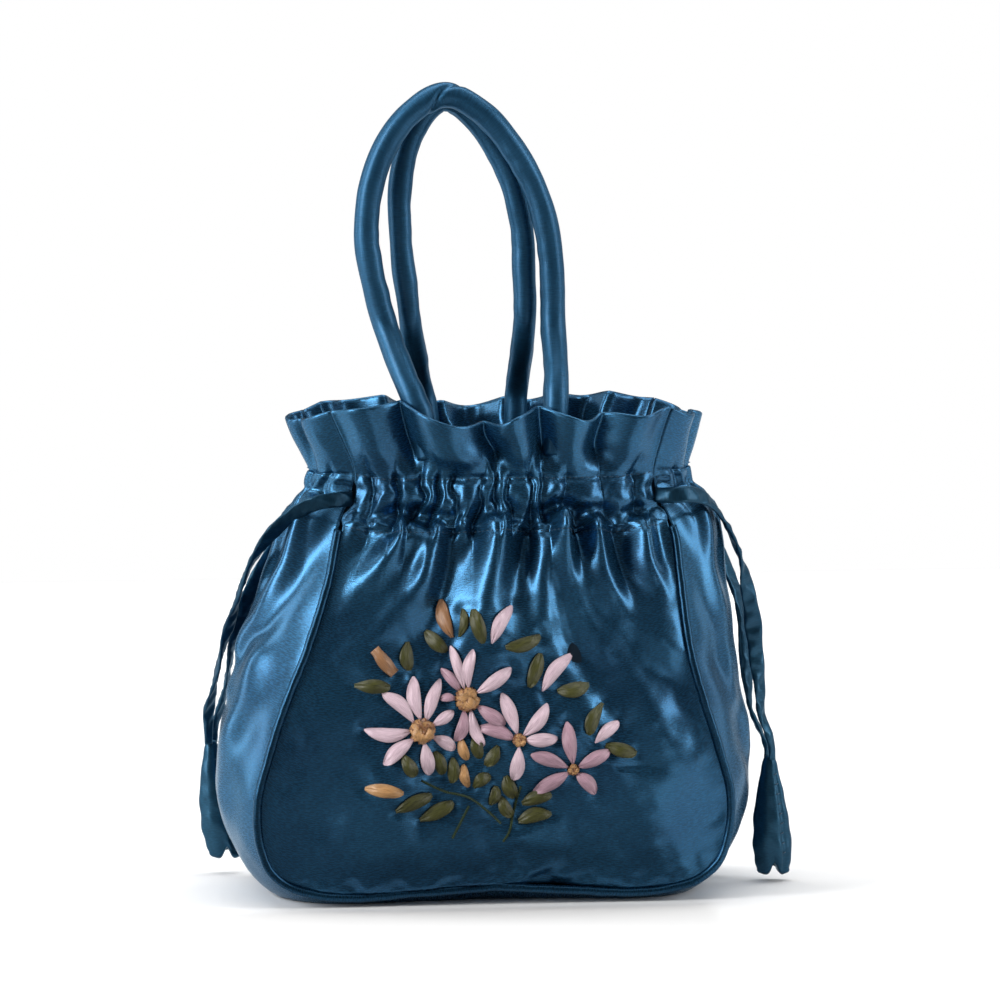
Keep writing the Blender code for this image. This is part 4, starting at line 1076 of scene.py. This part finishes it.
def ribbon_petal(name, base, tip, width, arch, cloth, material_, slot_name, rng, node, blunt=0.0):
    """One loop of ribbon from base to tip: pinched at both ends, arched, its edges curling at the tip."""
    rows, columns = 22, 12
    s = np.linspace(0, 1, rows + 1)
    v = np.linspace(-1, 1, columns + 1)
    base, tip = np.asarray(base), np.asarray(tip)
    way = tip - base
    length = np.linalg.norm(way)
    way = way / length
    aside = np.array([-way[1], way[0]])
    skew = rng.uniform(-0.10, 0.10)
    belly = rng.uniform(0.46, 0.60)
    taper = np.sin(math.pi * s ** (math.log(0.5) / math.log(belly))) ** (0.62 - 0.3 * blunt)
    half = width / 2 * np.clip(taper, 0.10 + 0.8 * blunt, 1)
    bend = skew * length * np.sin(math.pi * s)
    roll = rng.uniform(-0.35, 0.35)
    cup = rng.uniform(0.6, 1.2)
    points = np.zeros((rows + 1, columns + 1, 3))
    ripple = noise_field(rng.randint(0, 9999), 5, 0.5, 1.4)
    for i in range(rows + 1):
        hump = arch * math.sin(math.pi * min(1.0, s[i] * 1.02)) ** 0.8
        for j in range(columns + 1):
            x, z = base + way * s[i] * length + aside * (bend[i] + half[i] * v[j])
            place, _ = cloth.at(float(x), float(z))
            curl = RIBBON_CURL * cup * v[j] ** 2 * ramp(0.60, 0.92, s[i]) * (1 - ramp(0.92, 1.0, s[i]))
            dome = RIBBON_DOME * width * (1 - v[j] ** 2) * math.sin(math.pi * s[i]) ** 0.6
            tilt = RIBBON_TILT * roll * v[j] * math.sin(math.pi * s[i])
            crease = -RIBBON_CREASE * math.exp(-((v[j] / 0.20) ** 2)) * (1 - ramp(0.05, 0.45, s[i]))
            wave = RIBBON_RIPPLE * float(ripple(s[i] * 1.2, v[j] * 1.6))
            lift = RIBBON_LIFT + hump + curl + dome + tilt + crease + wave
            points[i, j] = place - Vector((0, lift, 0))
    uv = np.stack(np.broadcast_arrays(s[:, None] * length / RIBBON_WIDTH, v[None, :] * 0.5), -1)
    mesh = grid_mesh(name, points, uv)
    if mesh.polygons[len(mesh.polygons) // 2].normal.y > 0:
        mesh.flip_normals()
    petal = make_piece(name, mesh, material_, slot_name, node)
    thicken(petal, RIBBON)
    soft = petal.modifiers.new("soft", "SUBSURF")
    soft.levels = soft.render_levels = 1


def gold_centre(name, middle, radius, cloth, seed, node):
    """A flower's middle: narrow gold ribbon bunched into a knot of small folds."""
    rng = random.Random(seed)
    folds = 4 + int(radius / 0.0014)
    for number in range(folds):
        around = 360 * number / folds + rng.uniform(-25, 25)
        start = polar(middle, around, radius * 0.90)
        end = polar(middle, around + rng.uniform(110, 190), radius * rng.uniform(0.10, 0.55))
        lift = radius * (0.30 + 0.05 * number)
        ribbon_petal(f"{name}_fold_{number}", start, end, radius * 0.85, lift, cloth, GOLD,
                     "gold_ribbon", rng, node, blunt=0.4)
    bm = bmesh.new()
    bmesh.ops.create_icosphere(bm, subdivisions=5, radius=1.0)
    ridge = noise_field(seed, 7, 0.55, 1.3)
    cross = noise_field(seed + 1, 7, 0.45, 1.0)
    place, _ = cloth.at(*middle)
    for vert in bm.verts:
        n = vert.co.normalized()
        fold = abs(float(ridge(n.x + 0.4 * n.y, n.z - 0.3 * n.y)))
        fold2 = abs(float(cross(n.z + 0.5 * n.y, n.x)))
        swell = 1.10 - 0.26 * min(fold, 1.3) ** 0.7 - 0.14 * min(fold2, 1.3) ** 0.7
        x = n.x * radius * swell * 0.95
        z = n.z * radius * swell * 0.95
        y = n.y * radius * KNOT_DEPTH * swell
        vert.co = place + Vector((x, y - radius * KNOT_RISE, z))
    # The core under the folds wears the gold ribbon darkened as painted shade.
    make_piece(name, mesh_from(name, bm), KNOT_PAINTED_SHADE, "gold_ribbon", node)


# Flowers: middle (x, z), centre radius, arch, petals as (degrees, reach, share of the ribbon's width)
PETAL_WIDTH = 0.0062
LEAF_WIDTH = 0.0062
FLOWERS = {
    "flower_left": (
        (-0.0306, 0.0736), 0.0060, 0.0010,
        ((136, 0.0229, 1.0), (98, 0.0224, 1.0), (69, 0.0225, 0.9), (30, 0.0155, 0.8),
         (-30, 0.0159, 0.9), (-81, 0.0188, 1.0), (-141, 0.0211, 1.0), (178, 0.0240, 1.0)),
    ),
    "flower_top": (
        (-0.0117, 0.0862), 0.0058, 0.0016,
        ((130, 0.0166, 0.72), (107, 0.0231, 0.72), (84, 0.0211, 0.80), (36, 0.0223, 1.0),
         (-34, 0.0188, 1.0), (-71, 0.0205, 0.8), (-107, 0.0182, 0.9), (177, 0.0115, 0.6)),
    ),
    "flower_middle": (
        (0.0094, 0.0694), 0.0032, 0.0010,
        ((110, 0.0206, 1.0), (52, 0.0191, 1.0), (3, 0.0158, 1.0), (-98, 0.0173, 1.0), (163, 0.0179, 1.0)),
    ),
    "flower_right": (
        (0.0318, 0.0568), 0.0028, 0.0010,
        ((98, 0.0203, 1.0), (27, 0.0171, 1.0), (-49, 0.0141, 1.0), (-151, 0.0189, 1.0), (159, 0.0192, 1.0)),
    ),
}
# Petals of a darker ribbon, beside those of the right-hand flower
MAUVE_PETALS = (
    ("flower_top", 1), ("flower_top", 5), ("flower_top", 7), ("flower_top", 8), ("flower_middle", 5),
)
# Single loops: middle (x, z), length, degrees, share of the ribbon's width
LOOSE_PETALS = (
    ((0.0027, 0.1169), 0.0178, 59, 1.0),
    ((0.0259, 0.0965), 0.0200, 48, 1.0),
    ((0.0459, 0.0719), 0.0135, 39, 0.9),
)
BUDS = (
    ((-0.0197, 0.1192), 0.0161, 105, 0.95),
    ((-0.0457, 0.1022), 0.0135, -51, 0.95),
    ((-0.0134, 0.0663), 0.0110, -75, 0.72),
    ((-0.0125, 0.0546), 0.0100, -77, 0.72),
    ((-0.0466, 0.0494), 0.0162, -7, 0.95),
)
LEAVES = (
    ((-0.0241, 0.1098), 0.0122, -44, 1.0),
    ((-0.0142, 0.1178), 0.0119, 82, 0.6),
    ((-0.0074, 0.1165), 0.0149, -74, 1.0),
    ((0.0113, 0.1098), 0.0158, 15, 1.0),
    ((0.0162, 0.0978), 0.0150, -109, 1.0),
    ((0.0323, 0.0902), 0.0140, 10, 1.0),
    ((-0.0357, 0.1039), 0.0120, -88, 1.0),
    ((-0.0509, 0.0921), 0.0150, -3, 1.0),
    ((-0.0365, 0.0599), 0.0113, -59, 1.0),
    ((-0.0237, 0.0601), 0.0106, -72, 0.9),
    ((-0.0182, 0.0570), 0.0108, -93, 0.85),
    ((-0.0075, 0.0669), 0.0108, -83, 0.9),
    ((-0.0019, 0.0629), 0.0100, -122, 0.9),
    ((-0.0342, 0.0439), 0.0168, 22, 1.0),
    ((-0.0247, 0.0402), 0.0160, 27, 1.0),
    ((-0.0060, 0.0524), 0.0090, 37, 0.9),
    ((-0.0013, 0.0463), 0.0086, 73, 0.8),
    ((0.0058, 0.0496), 0.0105, -67, 1.0),
    ((0.0043, 0.0414), 0.0100, -61, 0.9),
    ((0.0169, 0.0444), 0.0130, 17, 1.0),
    ((0.0161, 0.0368), 0.0144, 12, 1.0),
    ((0.0412, 0.0774), 0.0145, -118, 1.0),
    ((0.0518, 0.0648), 0.0136, -16, 1.0),
)
PLY_RADIUS = 0.00033
PLY_OFFSET = 0.00028
PLY_PITCH = 0.0016
THREAD_LIFT = 0.0004
STEMS = (
    ((-0.0309, 0.0532), (-0.0226, 0.0488), (-0.0108, 0.0454), (-0.0034, 0.0398), (0.0018, 0.0348)),
    ((-0.0115, 0.0424), (-0.0144, 0.0366), (-0.0184, 0.0290)),
    ((0.0100, 0.0500), (0.0075, 0.0400), (0.0044, 0.0298), (0.0027, 0.0272)),
)


def loop_ends(spec):
    middle, length, degrees, share = spec
    return polar(middle, degrees, -length / 2), polar(middle, degrees, length / 2), share


def pinned_points():
    """Where ribbon goes through the cloth and pulls it in: x, z and depth."""
    rng = random.Random(3)
    pins = []
    for spec in (*LEAVES, *BUDS, *LOOSE_PETALS):
        base, tip, _ = loop_ends(spec)
        pins += [(*base, rng.uniform(0.0005, 0.0014)), (*tip, rng.uniform(0.0005, 0.0014))]
    for middle, _, _, petals in FLOWERS.values():
        pins.append((*middle, 0.0012))
        for degrees, reach, _ in petals:
            pins.append((*polar(middle, degrees, reach), rng.uniform(0.0006, 0.0015)))
    return pins


def make_stem(name, node, route, cloth):
    """Stem stitch in green thread: two plies twisted round each other along the route."""
    count = 120
    points = np.array([cloth.at(float(x), float(z), THREAD_LIFT)[0] for x, z in even_points(route, count)])
    _, side, normal = frames_along(points, (0, -1, 0))
    half = np.full((count, 1), PLY_RADIUS)
    bm = bmesh.new()
    for ply in (0, math.pi):
        turn = chord_stations(points) / PLY_PITCH * 2 * math.pi + ply
        twist = np.cos(turn)[:, None] * side + np.sin(turn)[:, None] * normal
        part = tube_mesh(name, points + PLY_OFFSET * twist, side, normal, half, half, 8)
        bm.from_mesh(part)
        bpy.data.meshes.remove(part)
    make_piece(name, mesh_from(name, bm), GREEN_THREAD, "green_thread", node)


def make_embroidery(panel):
    cloth = Cloth(panel)
    rng = random.Random(7)
    for number, spec in enumerate(LEAVES, 1):
        base, tip, share = loop_ends(spec)
        ribbon_petal(f"leaf_loop_{number:02d}", base, tip, LEAF_WIDTH * share, LOW_ARCH, cloth, OLIVE,
                     "olive_ribbon", rng, f"leaf_{number:02d}", blunt=0.25)
    for number, spec in enumerate(BUDS, 1):
        base, tip, share = loop_ends(spec)
        finish = TAN if number in (1, 2) else GOLD
        ribbon_petal(f"bud_loop_{number}", base, tip, PETAL_WIDTH * share, LOW_ARCH, cloth, finish,
                     "gold_ribbon", rng, f"bud_{number}", blunt=0.8 if number == 2 else 0.2)
    for number, spec in enumerate(LOOSE_PETALS, 1):
        base, tip, share = loop_ends(spec)
        ribbon_petal(f"petal_loop_{number}", base, tip, PETAL_WIDTH * share, PETAL_ARCH, cloth, PINK,
                     "pink_ribbon", rng, f"petal_{number}")
    for index, (name, (middle, radius, arch, petals)) in enumerate(FLOWERS.items()):
        for number, (degrees, reach, share) in enumerate(petals, 1):
            base = polar(middle, degrees, radius * 0.75)
            tip = polar(middle, degrees, reach)
            shaded = name == "flower_right" or (name, number) in MAUVE_PETALS
            ribbon_petal(f"{name}_petal_{number}", base, tip, PETAL_WIDTH * share, arch, cloth,
                         MAUVE if shaded else PINK, "pink_ribbon", rng, name)
        gold_centre(f"{name}_centre", middle, radius, cloth, 50 + index, name)
    for number, route in enumerate(STEMS, 1):
        make_stem(f"stem_thread_{number}", f"stem_{number}", route, cloth)


# Stage

WHITE = (0.93, 0.93, 0.93)
DARK = (0.20, 0.20, 0.20)
WORLD_GREY = (0.23, 0.23, 0.23, 1.0)


def area_light(name, place, target, width, height, power):
    data = bpy.data.lights.new(name, "AREA")
    data.shape = "RECTANGLE"
    data.size = width
    data.size_y = height
    data.energy = power
    light = bpy.data.objects.new(name, data)
    light.location = place
    aim(light, target)
    bpy.context.scene.collection.objects.link(light)


def plain_material(name, colour):
    made, tree, shader = new_material(name, colour, 0.9)
    shader.inputs["Specular IOR Level"].default_value = 0.1
    grain = mapped_noise(tree, "Object", (3.0, 3.0, 3.0), 2.0)
    tone = mix_colours(tree, grain, tuple(c * 0.99 for c in colour), colour)
    tree.links.new(tone, shader.inputs["Base Color"])
    return made


def mixed_shader(tree, share, first, second):
    mix = tree.nodes.new("ShaderNodeMixShader")
    tree.links.new(share, mix.inputs["Fac"])
    tree.links.new(first, mix.inputs[1])
    tree.links.new(second, mix.inputs[2])
    return mix.outputs["Shader"]


def glowing_white(name):
    """White to the camera and in reflections, plain white cloth to the lamps, clear from behind."""
    made = plain_material(name, WHITE)
    tree = made.node_tree
    path = tree.nodes.new("ShaderNodeLightPath")
    seen = path.outputs["Is Camera Ray"]
    for other in ("Is Glossy Ray", "Is Transmission Ray"):
        either = add_node(tree, "ShaderNodeMath", operation="MAXIMUM")
        tree.links.new(seen, either.inputs[0])
        tree.links.new(path.outputs[other], either.inputs[1])
        seen = either.outputs[0]
    glow = add_node(tree, "ShaderNodeEmission", Strength=1.0)
    cloth = tree.nodes["Principled BSDF"].outputs["BSDF"]
    front = mixed_shader(tree, seen, cloth, glow.outputs["Emission"])
    facing = tree.nodes.new("ShaderNodeNewGeometry").outputs["Backfacing"]
    clear = tree.nodes.new("ShaderNodeBsdfTransparent").outputs["BSDF"]
    surface = mixed_shader(tree, facing, front, clear)
    tree.links.new(surface, tree.nodes["Material Output"].inputs["Surface"])
    return made


def flat_card(name, x, y, z, material_):
    """An axis-aligned card between two corners; a coordinate with equal ends is its flat direction."""
    if y[0] == y[1]:
        corners = [(x[0], y[0], z[0]), (x[1], y[0], z[0]), (x[1], y[0], z[1]), (x[0], y[0], z[1])]
    else:
        corners = [(x[0], y[0], z[0]), (x[1], y[0], z[0]), (x[1], y[1], z[0]), (x[0], y[1], z[0])]
    mesh = bpy.data.meshes.new(name)
    mesh.from_pydata(corners, [], [(0, 1, 2, 3)])
    mesh.materials.append(material_)
    card = bpy.data.objects.new(name, mesh)
    bpy.context.scene.collection.objects.link(card)
    return card


def make_stage():
    white = plain_material("studio_white", WHITE)
    flat_card("floor", (-6, 6), (-6, 6), (0, 0), white)
    flat_card("backdrop", (-1.3, 1.3), (1.1, 1.1), (0, 1.5), glowing_white("backdrop_white"))
    # Dark cards that only reflections see, for the satin's dark parts
    dark = plain_material("black_card", DARK)
    for card in (
        flat_card("black_card", (-2.1, 1.9), (-2.9, -2.9), (0.02, 2.2), dark),
        flat_card("black_floor_card", (-0.42, 0.09), (-2.9, -0.05), (0.003, 0.003), dark),
        flat_card("black_top_card", (-0.9, 0.9), (-2.9, -0.80), (2.1, 2.1), dark),
        flat_card("black_back_card", (-0.34, 0.34), (0.62, 0.62), (0.004, 0.75), dark),
    ):
        card.visible_camera = False
        card.visible_shadow = False
    world = bpy.data.worlds.new("studio")
    world.use_nodes = True
    world.node_tree.nodes["Background"].inputs["Color"].default_value = WORLD_GREY
    bpy.context.scene.world = world
    middle = (0.0, 0.0, 0.12)
    # Place, target, width, height and power in watts
    for name, *lamp in (
        ("left_box", (-1.55, -0.66, 0.75), middle, 0.5, 1.3, 25),
        ("right_box", (1.55, -0.62, 0.75), middle, 0.5, 1.3, 12),
        ("left_rim", (-1.45, 0.45, 0.60), middle, 0.30, 1.1, 6),
        ("right_rim", (1.45, 0.45, 0.60), middle, 0.22, 1.1, 2),
        ("top_box", (0.0, -0.45, 1.70), middle, 1.2, 0.7, 3.5),
        ("backdrop_light", (0.0, 0.30, 1.5), (0.0, 0.5, 0.0), 2.2, 0.6, 20),
    ):
        area_light(name, *lamp)
    bpy.context.scene.view_settings.view_transform = "Standard"


def dress_node(name, material_):
    """Gives a node that stays as it is its own material."""
    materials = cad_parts[name].data.materials
    materials.clear()
    materials.append(material_)


def main():
    make_camera()
    make_cords()
    make_stage()
    front, *front_rows = make_panel(
        "front_cloth", "front_panel", False, (FRONT_GATHERS, FRONT_UPPER), FRONT_FRILL, FRONT_RIM,
        FRONT_FOLDS, pinned_points(), (240, 130, 26, 32), 11)
    _, *back_rows = make_panel(
        "back_cloth", "back_panel", True, (BACK_GATHERS, BACK_UPPER), BACK_FRILL, BACK_RIM,
        (), (), (160, 80, 18, 26), 23)
    make_gusset()
    make_piping("front_piping", "piping_front", False)
    make_piping("back_piping", "piping_back", True)
    make_handle("front_loop", "handle_front", FRONT_HANDLE, HANDLE_DIAMETER, False, 61)
    make_handle("back_loop", "handle_back", BACK_HANDLE, BACK_HANDLE_DIAMETER, True, 67)
    for name, (points, normals, levels) in (("front", front_rows), ("back", back_rows)):
        for mark, level in (("lower", 1.0), ("upper", 2.0)):
            row = int(np.argmin(np.abs(levels - level)))
            stitch_row(f"{name}_{mark}_stitches", points[row], normals[row])
    make_embroidery(front)
    dress_node("lining", LINING)
    dress_node("channel_cord_front", CORD_SATIN)
    dress_node("channel_cord_back", CORD_SATIN)


main()
